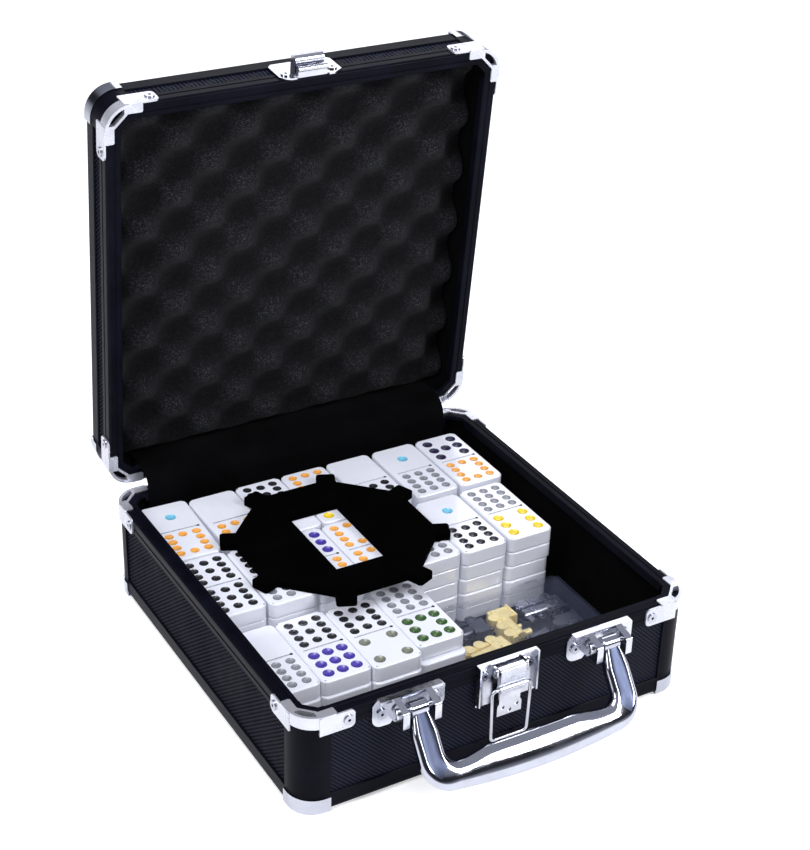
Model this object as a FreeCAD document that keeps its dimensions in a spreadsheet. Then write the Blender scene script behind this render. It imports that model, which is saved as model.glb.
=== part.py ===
import FreeCAD, Part
import os, math
import Sketcher

V = FreeCAD.Vector
ROT = FreeCAD.Rotation
PL = FreeCAD.Placement
doc = FreeCAD.newDocument("DominoCase")

# ---------------------------------------------------------------- driving sizes, mm and degrees
DIMS = [
    ("case_w", 200.0, "outside width over the rails"),
    ("case_d", 201.0, "outside depth over the rails"),
    ("base_ht", 52.0, "resting face to the base's closing face"),
    ("lid_ht", 25.1, "lid's closing face to its top"),
    ("shut_gap", 0.4, "gap between the two closing faces when shut"),
    ("skin", 0.8, "rails, posts and corner plates stand this far outside the panels"),
    ("panel_t", 3.2, "side panel thickness"),
    ("floor_t", 2.6, "floor and top panel thickness"),
    ("lining_t", 0.8, "velvet lining thickness"),
    ("corner_rad", 12.0, "outside radius of the upright corners"),
    ("post_w", 14.5, "corner post reach along each wall"),
    ("panel_in", 9.6, "panel end, from the corner"),
    ("rail_w", 7.0, "rim rail width, outside to inside"),
    ("rail_h", 7.9, "rim rail height"),
    ("plate_t", 0.6, "thickness of the bright corner plates over the rails"),
    ("foot_h", 8.0, "corner cap height"),
    ("hinge_y", 103.0, "hinge axis behind the middle"),
    ("hinge_z", 52.5, "hinge axis height"),
    ("open_deg", 83.96, "lid angle as it stands open"),
    ("knuckle_r", 2.2, "hinge knuckle radius"),
    ("tile_w", 24.6, "domino width"),
    ("tile_l", 49.6, "domino length"),
    ("tile_t", 8.1, "domino thickness"),
    ("hub_apo", 45.8, "hub, middle to flat side"),
    ("hub_t", 4.0, "hub thickness"),
    ("hub_win_w", 27.2, "hub window width"),
    ("hub_win_l", 51.4, "hub window length"),
    ("box_w", 72.0, "marker box width"),
    ("box_l", 72.0, "marker box length"),
    ("box_h", 16.2, "marker box height, lid on"),
    ("box_wall", 1.6, "marker box wall"),
    ("bail_half", 48.0, "handle arm, from the middle"),
    ("bail_len", 31.8, "handle pin to the middle of the grip"),
    ("bail_w", 12.0, "handle strap width"),
    ("bail_t", 6.0, "handle strap thickness"),
    ("bail_deg", 36.8, "handle, out from straight down"),
    ("bail_y", -108.0, "handle pins"),
    ("bail_z", 47.0, "handle pins"),
    ("latch_w", 30.4, "latch plate width"),
    ("wire_r", 0.8, "latch loop wire radius"),
    ("foam_top", 13.6, "foam at its peaks, from the lid's top"),
    ("foam_depth", 8.4, "foam, peak to hollow"),
    ("foam_px", 17.05, "foam, half the bump spacing across"),
    ("foam_py", 14.75, "foam, half the bump spacing front to back"),
    ("field_t", 0.4, "floor panel field, proud of its rebated edge"),
    ("ring_w", 3.8, "bright corner ring, reach in from the rail's outside"),
    ("spot_r", 2.7, "radius of a spot on a half with nine or fewer"),
    ("spot_r_small", 2.25, "radius of a spot on a half with ten or more"),
    ("spot_ball", 4.6, "radius of the ball that sinks a spot"),
]
sheet = doc.addObject("Spreadsheet::Sheet", "Dims")
for i, (alias, val, note) in enumerate(DIMS):
    sheet.set("A%d" % (i + 1), alias)
    sheet.set("B%d" % (i + 1), "%g" % val)
    sheet.set("C%d" % (i + 1), note)
    sheet.setAlias("B%d" % (i + 1), alias)
doc.recompute()


def D(alias):
    return float(getattr(sheet, alias))


def val(e):
    """Number of an expression over the sheet's names."""
    if isinstance(e, (int, float)):
        return float(e)
    out = e
    for alias, _v, _n in sorted(DIMS, key=lambda q: -len(q[0])):
        out = out.replace("Dims." + alias, "(%r)" % D(alias))
    return calc(out)


def calc(text):
    """Plain arithmetic: + - * / and brackets."""
    toks = []
    i = 0
    while i < len(text):
        c = text[i]
        if c.isspace():
            i += 1
        elif c.isdigit() or c == ".":
            j = i
            while j < len(text) and (text[j].isdigit() or text[j] == "."):
                j += 1
            toks.append(float(text[i:j]))
            i = j
        else:
            toks.append(c)
            i += 1
    pos = [0]

    def peek():
        return toks[pos[0]] if pos[0] < len(toks) else None

    def atom():
        t = peek()
        pos[0] += 1
        if t == "-":
            return -atom()
        if t == "(":
            r = add()
            pos[0] += 1
            return r
        return t

    def mul():
        r = atom()
        while peek() in ("*", "/"):
            op = peek()
            pos[0] += 1
            b = atom()
            r = r * b if op == "*" else r / b
        return r

    def add():
        r = mul()
        while peek() in ("+", "-"):
            op = peek()
            pos[0] += 1
            b = mul()
            r = r + b if op == "+" else r - b
        return r

    return add()


def bind(obj, prop, e):
    if isinstance(e, (int, float)):
        setattr(obj, prop, e)
    else:
        obj.setExpression(prop, e)


# ---------------------------------------------------------------- small modelling helpers
NODES = {}          # node name -> object


def body(label):
    b = doc.addObject("PartDesign::Body", label)
    b.Label = label
    return b


def set_pos(f, x, y, z, rot=None):
    f.Placement = PL(V(val(x), val(y), val(z)), rot or ROT())
    for ax, e in (("x", x), ("y", y), ("z", z)):
        if not isinstance(e, (int, float)):
            f.setExpression("Placement.Base.%s" % ax, e)


def bx(b, x, y, z, lx, ly, lz, cut=False):
    f = b.newObject("PartDesign::SubtractiveBox" if cut else "PartDesign::AdditiveBox", "Block")
    bind(f, "Length", lx)
    bind(f, "Width", ly)
    bind(f, "Height", lz)
    set_pos(f, x, y, z)
    return f


AX = {"x": ROT(V(0, 1, 0), 90), "-x": ROT(V(0, 1, 0), -90), "y": ROT(V(1, 0, 0), -90), "-y": ROT(V(1, 0, 0), 90), "z": ROT()}


def cy(b, axis, x, y, z, r, h, cut=False):
    f = b.newObject("PartDesign::SubtractiveCylinder" if cut else "PartDesign::AdditiveCylinder", "Round")
    bind(f, "Radius", r)
    bind(f, "Height", h)
    set_pos(f, x, y, z, AX[axis])
    return f


def plane(b, role="XY_Plane"):
    return [f for f in b.Origin.OriginFeatures if f.Role == role][0]


def loop(sk, pts, arcs=None):
    """Closed outline. pts: list of (x, y) numbers or expressions. arcs: {i: (radius, bulge side)}; side +1 centre on the left of the edge i -> i+1."""
    arcs = arcs or {}
    n = len(pts)
    P = [V(val(x), val(y), 0) for x, y in pts]
    ends = []           # (geo, start pos, end pos)
    for i in range(n):
        a, c = P[i], P[(i + 1) % n]
        if i in arcs:
            r, side = arcs[i]
            r = val(r)
            m = (a + c) * 0.5
            d = c - a
            h = math.sqrt(max(r * r - d.Length * d.Length / 4, 0))
            nrm = V(-d.y, d.x, 0).normalize() * side
            o = m + nrm * h
            a0 = math.atan2(a.y - o.y, a.x - o.x)
            a1 = math.atan2(c.y - o.y, c.x - o.x)
            if side > 0:        # counter-clockwise from a to c
                while a1 < a0:
                    a1 += 2 * math.pi
                g = sk.addGeometry(Part.ArcOfCircle(Part.Circle(o, V(0, 0, 1), r), a0, a1), False)
                ends.append((g, 1, 2))
            else:
                while a0 < a1:
                    a0 += 2 * math.pi
                g = sk.addGeometry(Part.ArcOfCircle(Part.Circle(o, V(0, 0, 1), r), a1, a0), False)
                ends.append((g, 2, 1))
        else:
            g = sk.addGeometry(Part.LineSegment(a, c), False)
            ends.append((g, 1, 2))
    for i in range(n):
        g0, s0, e0 = ends[i - 1]
        g1, s1, e1 = ends[i]
        sk.addConstraint(Sketcher.Constraint("Coincident", g0, e0, g1, s1))
    for i in range(n):
        g, s, e = ends[i]
        for kind, k in (("DistanceX", 0), ("DistanceY", 1)):
            ex = pts[i][k]
            v = val(ex)
            if abs(v) < 1e-9 and isinstance(ex, (int, float)):
                sk.addConstraint(Sketcher.Constraint("PointOnObject", g, s, -2 if k == 0 else -1))
                continue
            c = sk.addConstraint(Sketcher.Constraint(kind, -1, 1, g, s, v))
            if not isinstance(ex, (int, float)):
                sk.setExpression("Constraints[%d]" % c, ex)
    for i in arcs:
        c = sk.addConstraint(Sketcher.Constraint("Radius", ends[i][0], val(arcs[i][0])))
        if not isinstance(arcs[i][0], (int, float)):
            sk.setExpression("Constraints[%d]" % c, arcs[i][0])


def ring(sk, x, y, r):
    g = sk.addGeometry(Part.Circle(V(val(x), val(y), 0), V(0, 0, 1), val(r)), False)
    for kind, e in (("DistanceX", x), ("DistanceY", y)):
        if abs(val(e)) < 1e-9:
            sk.addConstraint(Sketcher.Constraint("PointOnObject", g, 3, -2 if kind == "DistanceX" else -1))
        else:
            c = sk.addConstraint(Sketcher.Constraint(kind, -1, 1, g, 3, val(e)))
            if not isinstance(e, (int, float)):
                sk.setExpression("Constraints[%d]" % c, e)
    c = sk.addConstraint(Sketcher.Constraint("Radius", g, val(r)))
    if not isinstance(r, (int, float)):
        sk.setExpression("Constraints[%d]" % c, r)


def sketch(b, at=0, role="XY_Plane"):
    sk = b.newObject("Sketcher::SketchObject", "Outline")
    sk.AttachmentSupport = [(plane(b, role), "")]
    sk.MapMode = "FlatFace"
    if at:
        sk.AttachmentOffset = PL(V(0, 0, val(at)), ROT())
        if not isinstance(at, (int, float)):
            sk.setExpression("AttachmentOffset.Base.z", at)
    return sk


def pad(b, sk, h, cut=False):
    f = b.newObject("PartDesign::Pocket" if cut else "PartDesign::Pad", "Cut" if cut else "Pad")
    f.Profile = sk
    f.Type = 0
    bind(f, "Length", h)
    if cut:
        f.Reversed = True       # cuts upward, the way pads grow
    sk.Visibility = False
    b.Tip = f
    return f


def edges_at(shape, test):
    names = []
    for i, e in enumerate(shape.Edges):
        try:
            if test(e):
                names.append("Edge%d" % (i + 1))
        except Exception:
            pass
    return names


def fillet(b, test, r, chamfer=False):
    doc.recompute()
    tip = b.Tip
    names = edges_at(tip.Shape, test)
    if not names:
        raise RuntimeError("no edges for the rounding on " + b.Label)
    f = b.newObject("PartDesign::Chamfer" if chamfer else "PartDesign::Fillet", "Edge")
    f.Base = (tip, names)
    if chamfer:
        bind(f, "Size", r)
    else:
        bind(f, "Radius", r)
    b.Tip = f
    doc.recompute()
    return f


def vertical(e):
    return len(e.Vertexes) == 2 and abs(e.Vertexes[0].X - e.Vertexes[1].X) < 1e-6 and abs(e.Vertexes[0].Y - e.Vertexes[1].Y) < 1e-6


def corner_edge(x, y):
    return lambda e: vertical(e) and abs(e.Vertexes[0].X - x) < 1e-4 and abs(e.Vertexes[0].Y - y) < 1e-4


def node(name, obj, placement=None):
    obj.Label = name
    if placement is not None:
        obj.Placement = placement
    NODES[name] = obj
    return obj


def group(name, shape, placements):
    """One node of separate equal solids."""
    f = doc.addObject("Part::Feature", name)
    solids = []
    for p in placements:
        for s in shape.Solids:
            c = s.copy()
            c.Placement = p.multiply(c.Placement)
            solids.append(c)
    f.Shape = Part.makeCompound(solids)
    return node(name, f)


def moved(shape, place):
    out = []
    for s in shape.Solids:
        c = s.copy()
        c.Placement = place.multiply(c.Placement)
        out.append(c)
    return out


RIVETS = {}


# ---------------------------------------------------------------- one shell: a shallow box standing on its corner caps, open at the top
# Local frame: middle of the outline at x = y = 0, resting face at z = 0, opening at z = height.
def wall_place(side):
    """Local rail frame (inward, up, along) to the shell's frame, for the rail's start corner."""
    w, d = D("case_w") / 2, D("case_d") / 2
    m = {
        "front": (V(-w, -d, 0), V(0, 1, 0), V(0, 0, 1), V(1, 0, 0)),
        "right": (V(w, -d, 0), V(-1, 0, 0), V(0, 0, 1), V(0, 1, 0)),
        "back": (V(w, d, 0), V(0, -1, 0), V(0, 0, 1), V(-1, 0, 0)),
        "left": (V(-w, d, 0), V(1, 0, 0), V(0, 0, 1), V(0, -1, 0)),
    }[side]
    o, a, b, c = m
    mt = FreeCAD.Matrix(a.x, b.x, c.x, o.x, a.y, b.y, c.y, o.y, a.z, b.z, c.z, o.z, 0, 0, 0, 1)
    return PL(mt)


def corner_places():
    w, d = D("case_w") / 2, D("case_d") / 2
    return [PL(V(-w, -d, 0), ROT(V(0, 0, 1), 0)), PL(V(w, -d, 0), ROT(V(0, 0, 1), 90)),
            PL(V(w, d, 0), ROT(V(0, 0, 1), 180)), PL(V(-w, d, 0), ROT(V(0, 0, 1), 270))]


def wall_length(side):
    return "Dims.case_w" if side in ("front", "back") else "Dims.case_d"


def build_shell(prefix, ht, place, names, floor_name):
    """names maps the local side to the side's name on the case."""
    # floor or top panel, its corners cut back clear of the posts
    b = body(prefix + floor_name)
    bx(b, "-Dims.case_w/2+Dims.skin+Dims.panel_t", "-Dims.case_d/2+Dims.skin+Dims.panel_t", 1.6,
       "Dims.case_w-2*Dims.skin-2*Dims.panel_t", "Dims.case_d-2*Dims.skin-2*Dims.panel_t", "Dims.floor_t")
    fillet(b, vertical, 5.8, chamfer=True)
    # the field between the rails stands a little proud of the rebated edge
    e = 9.5
    c = 11.6
    sk = sketch(b, "1.6-Dims.field_t")
    w, d = "(Dims.case_w/2-%g)" % e, "(Dims.case_d/2-%g)" % e
    loop(sk, [("-%s+%g" % (w, c), "-" + d), ("%s-%g" % (w, c), "-" + d), (w, "-%s+%g" % (d, c)), (w, "%s-%g" % (d, c)),
              ("%s-%g" % (w, c), d), ("-%s+%g" % (w, c), d), ("-" + w, "%s-%g" % (d, c)), ("-" + w, "-%s+%g" % (d, c))])
    pad(b, sk, "Dims.field_t+0.2")
    node(prefix + floor_name, b, place)
    # side panels
    for side in ("front", "back", "left", "right"):
        b = body(prefix + names[side] + "_panel")
        sk = sketch(b, "Dims.panel_in")
        loop(sk, [("Dims.skin", 1.6), ("Dims.skin+Dims.panel_t", 1.6), ("Dims.skin+Dims.panel_t", ht + "-3"), ("Dims.skin", ht + "-3")])
        pad(b, sk, wall_length(side) + "-2*Dims.panel_in")
        node(prefix + names[side] + "_panel", b, place.multiply(wall_place(side)))
    # bottom rails: angle extrusions over the lower edges, rounded outside
    for pair, label in ((("front", "back"), "front_back"), (("left", "right"), "sides")):
        b = body(prefix + "edge_rail_" + label + "_one")
        sk = sketch(b, "Dims.post_w")
        loop(sk, [(2.2, 0.8), (9.0, 0.8), (9.0, 1.6), ("Dims.skin", 1.6), ("Dims.skin", 9.5), (0.45, 9.5), (0, 9.0), (0, 3.0)],
             {7: (2.2, 1)})
        pad(b, sk, wall_length(pair[0]) + "-2*Dims.post_w")
        doc.recompute()
        group(prefix + "edge_rails_" + label, b.Shape, [place.multiply(wall_place(q)) for q in pair])
    # rim rails: channel extrusions over the upper edges, grooved outside and on top
    for pair, label in ((("front", "back"), "front_back"), (("left", "right"), "sides")):
        b = body(prefix + "rim_rail_" + label + "_one")
        sk = sketch(b, "Dims.post_w")
        z0 = ht + "-Dims.plate_t-Dims.rail_h"

        def up(v):
            return z0 + "+%g" % v
        loop(sk, [(0, up(0)), ("Dims.skin", up(0)), ("Dims.skin", up(5.7)), ("Dims.rail_w-0.8", up(5.7)), ("Dims.rail_w-0.8", up(3.6)),
                  ("Dims.rail_w", up(3.6)), ("Dims.rail_w", up(7.5)), ("Dims.rail_w-0.4", up(7.9)), (4.7, up(7.9)), (4.4, up(7.5)), (3.7, up(7.5)), (3.4, up(7.9)),
                  (1.5, up(7.9)), (0, up(6.4)), (0, up(3.5)), (0.35, up(3.2)), (0.35, up(2.6)), (0, up(2.3))], {12: (1.5, 1)})
        pad(b, sk, wall_length(pair[0]) + "-2*Dims.post_w")
        doc.recompute()
        group(prefix + "rim_rails_" + label, b.Shape, [place.multiply(wall_place(q)) for q in pair])
    # inside the bright corners short black links carry the rim round, from rail to rail
    b = body(prefix + "rim_link_one")
    sk = sketch(b, ht + "-2.6")
    g = 0.05
    loop(sk, [("Dims.post_w", "Dims.ring_w+%g" % g), ("Dims.post_w", "Dims.rail_w"), ("Dims.rail_w+5", "Dims.rail_w"), ("Dims.rail_w", "Dims.rail_w+5"),
              ("Dims.rail_w", "Dims.post_w"), ("Dims.ring_w+%g" % g, "Dims.post_w"), ("Dims.ring_w+%g" % g, "14-Dims.ring_w+%g" % g), ("14-Dims.ring_w+%g" % g, "Dims.ring_w+%g" % g)])
    pad(b, sk, "2.6-Dims.plate_t")
    doc.recompute()
    both = Part.makeCompound(NODES[prefix + "rim_rails_sides"].Shape.Solids + [q for p in corner_places() for q in moved(b.Shape, place.multiply(p))])
    NODES[prefix + "rim_rails_sides"].Shape = both
    # corner posts: rounded outside, slotted for the panel ends
    b = body(prefix + "corner_post_one")
    sk = sketch(b, 0.8)
    loop(sk, [("Dims.corner_rad", 0), ("Dims.post_w", 0), ("Dims.post_w", "Dims.skin"), ("Dims.panel_in", "Dims.skin"),
              ("Dims.panel_in", "Dims.skin+Dims.panel_t"), (6.4, 5.6), (5.6, 6.4), ("Dims.skin+Dims.panel_t", "Dims.panel_in"),
              ("Dims.skin", "Dims.panel_in"), ("Dims.skin", "Dims.post_w"), (0, "Dims.post_w"), (0, "Dims.corner_rad")], {11: ("Dims.corner_rad", 1)})
    pad(b, sk, ht + "-0.8-2.6")
    doc.recompute()
    group(prefix + "corner_posts", b.Shape, [place.multiply(p) for p in corner_places()])
    # bright corner caps: cups round the lower corners
    b = body(prefix + "corner_cap_one")
    o = 0.7
    sk = sketch(b)
    loop(sk, [("Dims.corner_rad", -o), ("Dims.post_w", -o), ("Dims.post_w", "Dims.post_w"), (-o, "Dims.post_w"), (-o, "Dims.corner_rad")],
         {4: ("Dims.corner_rad+%g" % o, 1)})
    pad(b, sk, "Dims.foot_h")
    fillet(b, lambda e: all(abs(v.Z) < 1e-6 for v in e.Vertexes) and min(v.X for v in e.Vertexes) < 13 and min(v.Y for v in e.Vertexes) < 13
           and (abs(e.BoundBox.XMin + o) < 1e-3 or abs(e.BoundBox.YMin + o) < 1e-3) and not (e.BoundBox.XMax > 14.4 and e.BoundBox.YMax > 14.4), 1.4)
    sk = sketch(b, 0.8)
    loop(sk, [("Dims.corner_rad", 0), ("Dims.post_w+1", 0), ("Dims.post_w+1", "Dims.post_w+1"), (0, "Dims.post_w+1"), (0, "Dims.corner_rad")],
         {4: ("Dims.corner_rad", 1)})
    pad(b, sk, "Dims.foot_h", cut=True)
    doc.recompute()
    group(prefix + ("bottom" if prefix == "base_" else "top") + "_corner_caps", b.Shape, [place.multiply(p) for p in corner_places()])
    # bright rim corners: a ridged ring on the closing face, a band round the corner, a wing down each wall, a diagonal gusset inside
    b = body(prefix + "rim_corner_one")
    o = 0.8
    sk = sketch(b, ht + "-6")       # band and ring together
    loop(sk, [("Dims.corner_rad", -o), ("Dims.post_w", -o), ("Dims.post_w", 0), ("Dims.corner_rad", 0), (0, "Dims.corner_rad"), (0, "Dims.post_w"), (-o, "Dims.post_w"), (-o, "Dims.corner_rad")],
         {3: ("Dims.corner_rad", -1), 7: ("Dims.corner_rad+%g" % o, 1)})
    pad(b, sk, 6)
    sk = sketch(b, ht + "-2.6")     # ring block between the rail ends
    loop(sk, [("Dims.corner_rad", -o), ("Dims.post_w", -o), ("Dims.post_w", "Dims.ring_w"), ("14-Dims.ring_w", "Dims.ring_w"), ("Dims.ring_w", "14-Dims.ring_w"),
              ("Dims.ring_w", "Dims.post_w"), (-o, "Dims.post_w"), (-o, "Dims.corner_rad")], {7: ("Dims.corner_rad+%g" % o, 1)})
    pad(b, sk, 2.6)
    sk = sketch(b, ht + "-Dims.plate_t")    # tongues over the rail tops
    loop(sk, [(13, -o), (16.4, -o), (17.1, 0.0), (17.1, "Dims.ring_w-0.5"), (16.6, "Dims.ring_w"), (13, "Dims.ring_w")])
    pad(b, sk, "Dims.plate_t")
    sk = sketch(b, ht + "-Dims.plate_t")
    loop(sk, [(-o, 13), ("Dims.ring_w", 13), ("Dims.ring_w", 16.6), ("Dims.ring_w-0.5", 17.1), (0.0, 17.1), (-o, 16.4)])
    pad(b, sk, "Dims.plate_t")
    # wings
    f = bx(b, "Dims.corner_rad-3.2", -o, ht + "-9.6", 16.6, o, 9.0)
    f = bx(b, -o, "Dims.corner_rad-3.2", ht + "-9.6", o, 16.6, 9.0)
    b.Tip = f
    fillet(b, lambda e: abs(e.BoundBox.ZMax - e.BoundBox.ZMin) < 1e-6 and (
        (abs(e.BoundBox.XMin - (D("corner_rad") + 13.4)) < 1e-4 and e.BoundBox.XLength < 1e-6) or
        (abs(e.BoundBox.YMin - (D("corner_rad") + 13.4)) < 1e-4 and e.BoundBox.YLength < 1e-6)), 2.4)
    # the band's inside must stay clear of the post: cut it back to the post's own outline
    sk = sketch(b, ht + "-12")
    loop(sk, [("Dims.corner_rad", 0), (40, 0), (40, 40), (0, 40), (0, "Dims.corner_rad")], {4: ("Dims.corner_rad", 1)})
    pad(b, sk, 9.4, cut=True)
    # window between the round band and the diagonal strip: black shows through it
    sk = sketch(b, ht + "-2.7")
    q = 12 - math.sqrt(11.35 ** 2 - (12 - 8.5) ** 2)
    loop(sk, [(8.5, 12.3 - 8.5), (8.5, q), (q, 8.5), (12.3 - 8.5, 8.5)], {1: (11.35, -1)})
    pad(b, sk, 3.0, cut=True)
    # rivet holes in the wings
    cy(b, "-y", 22.3, 0.5, ht + "-5.3", 1.2, 2, cut=True)
    f = cy(b, "-x", 0.5, 22.3, ht + "-5.3", 1.2, 2, cut=True)
    b.Tip = f
    doc.recompute()
    group(prefix + "rim_corners", b.Shape, [place.multiply(p) for p in corner_places()])
    # hollow rivets through the wings
    b = body(prefix + "corner_rivet_one")
    cy(b, "-y", 22.3, "-Dims.skin", ht + "-5.3", 2.3, 0.7)
    cy(b, "-y", 22.3, 0, ht + "-5.3", 1.15, 1.2)
    f = cy(b, "-y", 22.3, 0.5, ht + "-5.3", 0.7, 3, cut=True)
    b.Tip = f
    doc.recompute()
    flip = PL(FreeCAD.Matrix(0, 1, 0, 0, 1, 0, 0, 0, 0, 0, 1, 0, 0, 0, 0, 1))      # swap the two walls of a corner
    other = b.Shape.copy().transformGeometry(FreeCAD.Matrix(0, 1, 0, 0, 1, 0, 0, 0, 0, 0, 1, 0, 0, 0, 0, 1))
    both = Part.makeCompound(b.Shape.Solids + other.Solids)
    RIVETS[prefix] = [q for p in corner_places() for q in moved(both, place.multiply(p))]
    # velvet: floor and wall linings
    b = body(prefix + "floor_lining")
    bx(b, "-Dims.case_w/2+Dims.skin+Dims.panel_t", "-Dims.case_d/2+Dims.skin+Dims.panel_t", "1.6+Dims.floor_t",
       "Dims.case_w-2*Dims.skin-2*Dims.panel_t", "Dims.case_d-2*Dims.skin-2*Dims.panel_t", "Dims.lining_t")
    fillet(b, vertical, 5.8, chamfer=True)
    if prefix == "base_":
        node("base_floor_lining", b, place)
    b = body(prefix + "wall_lining")
    w, d = "Dims.case_w/2-Dims.skin-Dims.panel_t", "Dims.case_d/2-Dims.skin-Dims.panel_t"
    t = "Dims.lining_t"
    r = 8.8
    z0 = "1.6+Dims.floor_t+Dims.lining_t"
    sk = sketch(b, z0)

    def rounded(w, d, r):
        pts = [("-(%s)+%g" % (w, r), "-(%s)" % d), ("%s-%g" % (w, r), "-(%s)" % d), (w, "-(%s)+%g" % (d, r)), (w, "%s-%g" % (d, r)),
               ("%s-%g" % (w, r), d), ("-(%s)+%g" % (w, r), d), ("-(%s)" % w, "%s-%g" % (d, r)), ("-(%s)" % w, "-(%s)+%g" % (d, r))]
        return pts, {1: (r, 1), 3: (r, 1), 5: (r, 1), 7: (r, 1)}
    p, a = rounded(w, d, r)
    loop(sk, p, a)
    p, a = rounded(w + "-" + t, d + "-" + t, 8.0)
    loop(sk, p, a)
    pad(b, sk, ht + "-3.4-(" + z0 + ")")
    node(prefix + "wall_lining", b, place)


ID = PL()
build_shell("base_", "Dims.base_ht", ID, {"front": "front", "back": "back", "left": "left", "right": "right"}, "floor_panel")
AXIS = V(0, D("hinge_y"), D("hinge_z"))
OPEN = PL(V(0, 0, 0), ROT(V(1, 0, 0), -D("open_deg")), AXIS)
SHUT_TOP = D("base_ht") + D("shut_gap") + D("lid_ht")
FLIP = PL(V(0, 0, SHUT_TOP), ROT(V(1, 0, 0), 180))
LID = OPEN.multiply(FLIP)
# turned over, the local front wall is the lid's back wall
build_shell("lid_", "Dims.lid_ht", LID, {"front": "back", "back": "front", "left": "left", "right": "right"}, "top_panel")

# ---------------------------------------------------------------- lid foam: convoluted sheet, bumps in staggered rows
fx, fy = D("case_w") / 2 - 5.4, D("case_d") / 2 - 5.4
zb, zp = 4.3, D("foam_top")
PX, PY, FD = D("foam_px"), D("foam_py"), D("foam_depth") / 2
rows = []
NX, NY = 63, 73     # five places to a bump each way
for j in range(NY):
    row = []
    for i in range(NX):
        x = (i - 31) * PX / 5
        y = (j - 36) * PY / 5
        h = math.cos(math.pi * (x + 9.3) / PX) * math.cos(math.pi * (y - 1.2) / PY)
        row.append(V(x, y, zp - FD + FD * h))
    rows.append(row)
surf = Part.BSplineSurface()
surf.interpolate(rows)
under = surf.toShape().extrude(V(0, 0, -14))
block = Part.makeBox(2 * fx, 2 * fy, zp + 2 - zb, V(-fx, -fy, zb))
block = block.makeFillet(9.0, [e for e in block.Edges if vertical(e)])
foam = block.common(under)
f = doc.addObject("Part::Feature", "egg_crate_foam")
f.Shape = foam.Solids[0]
node("egg_crate_foam", f, LID)

# ---------------------------------------------------------------- hinges
HX = (-58.5, 58.5)
hp = [PL(V(x, 0, 0), ROT()) for x in HX]
b = body("hinge_leaf_base_one")
yk = "Dims.hinge_y"
y0 = "Dims.case_d/2"
for x0, ln in ((-15, 9.7), (5.3, 9.7)):
    cy(b, "x", x0, yk, "Dims.hinge_z", "Dims.knuckle_r", ln)
    bx(b, x0, y0, "Dims.hinge_z-4", ln, 1.8, 3.4)
bx(b, -15, y0, "Dims.hinge_z-16.5", 30, 1.0, 14.4)
for x0 in (-16, 4.3):
    cy(b, "x", x0, yk, "Dims.hinge_z", 0.95, 11.7, cut=True)
f = cy(b, "-y", -9, 104, "Dims.hinge_z-9.5", 1.2, 6, cut=True)
f.Placement = PL(V(-9, 104, D("hinge_z") - 9.5), AX["-y"])
f2 = cy(b, "-y", 9, 104, "Dims.hinge_z-9.5", 1.2, 6, cut=True)
b.Tip = f2
doc.recompute()
group("hinge_base_leaves", b.Shape, hp)
b = body("hinge_leaf_lid_one")
cy(b, "x", -5, yk, "Dims.hinge_z", "Dims.knuckle_r", 10)
bx(b, -5, y0, "Dims.hinge_z+0.6", 10, 1.8, 3.4)
bx(b, -15, y0, "Dims.hinge_z+2.2", 30, 1.0, 13)
cy(b, "x", -6, yk, "Dims.hinge_z", 1.0, 12, cut=True)
cy(b, "-y", -9, 104, "Dims.hinge_z+9.5", 1.2, 6, cut=True)
f2 = cy(b, "-y", 9, 104, "Dims.hinge_z+9.5", 1.2, 6, cut=True)
b.Tip = f2
doc.recompute()
group("hinge_lid_leaves", b.Shape, [OPEN.multiply(p) for p in hp])
b = body("hinge_pin_one")
f = cy(b, "x", -15.4, yk, "Dims.hinge_z", 0.95, 30.8)
b.Tip = f
doc.recompute()
group("hinge_pins", b.Shape, hp)
b = body("hinge_rivet_one")
cy(b, "y", 0, "Dims.case_d/2+1", 0, 2.2, 0.8)
f = cy(b, "y", 0, "Dims.case_d/2", 0, 1.15, 1.4)
b.Tip = f
fillet(b, lambda e: abs(e.BoundBox.YMin - (D("case_d") / 2 + 1.8)) < 1e-4 and e.BoundBox.YLength < 1e-6 and e.BoundBox.XLength > 4, 0.5)
zb1, zl1 = D("hinge_z") - 9.5, D("hinge_z") + 9.5
group("hinge_base_rivets", b.Shape, [PL(V(x + s * 9, 0, zb1), ROT()) for x in HX for s in (-1, 1)])
group("hinge_lid_rivets", b.Shape, [OPEN.multiply(PL(V(x + s * 9, 0, zl1), ROT())) for x in HX for s in (-1, 1)])

# velvet strip that hides the hinge gap, its lower hem on the base's back wall
b = body("hinge_cover_strip")
bx(b, -84, "Dims.case_d/2-Dims.skin-Dims.panel_t-Dims.lining_t-0.9", 30, 168, 0.9, "Dims.base_ht-5.5-30")
node("hinge_cover_strip", b)

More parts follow.
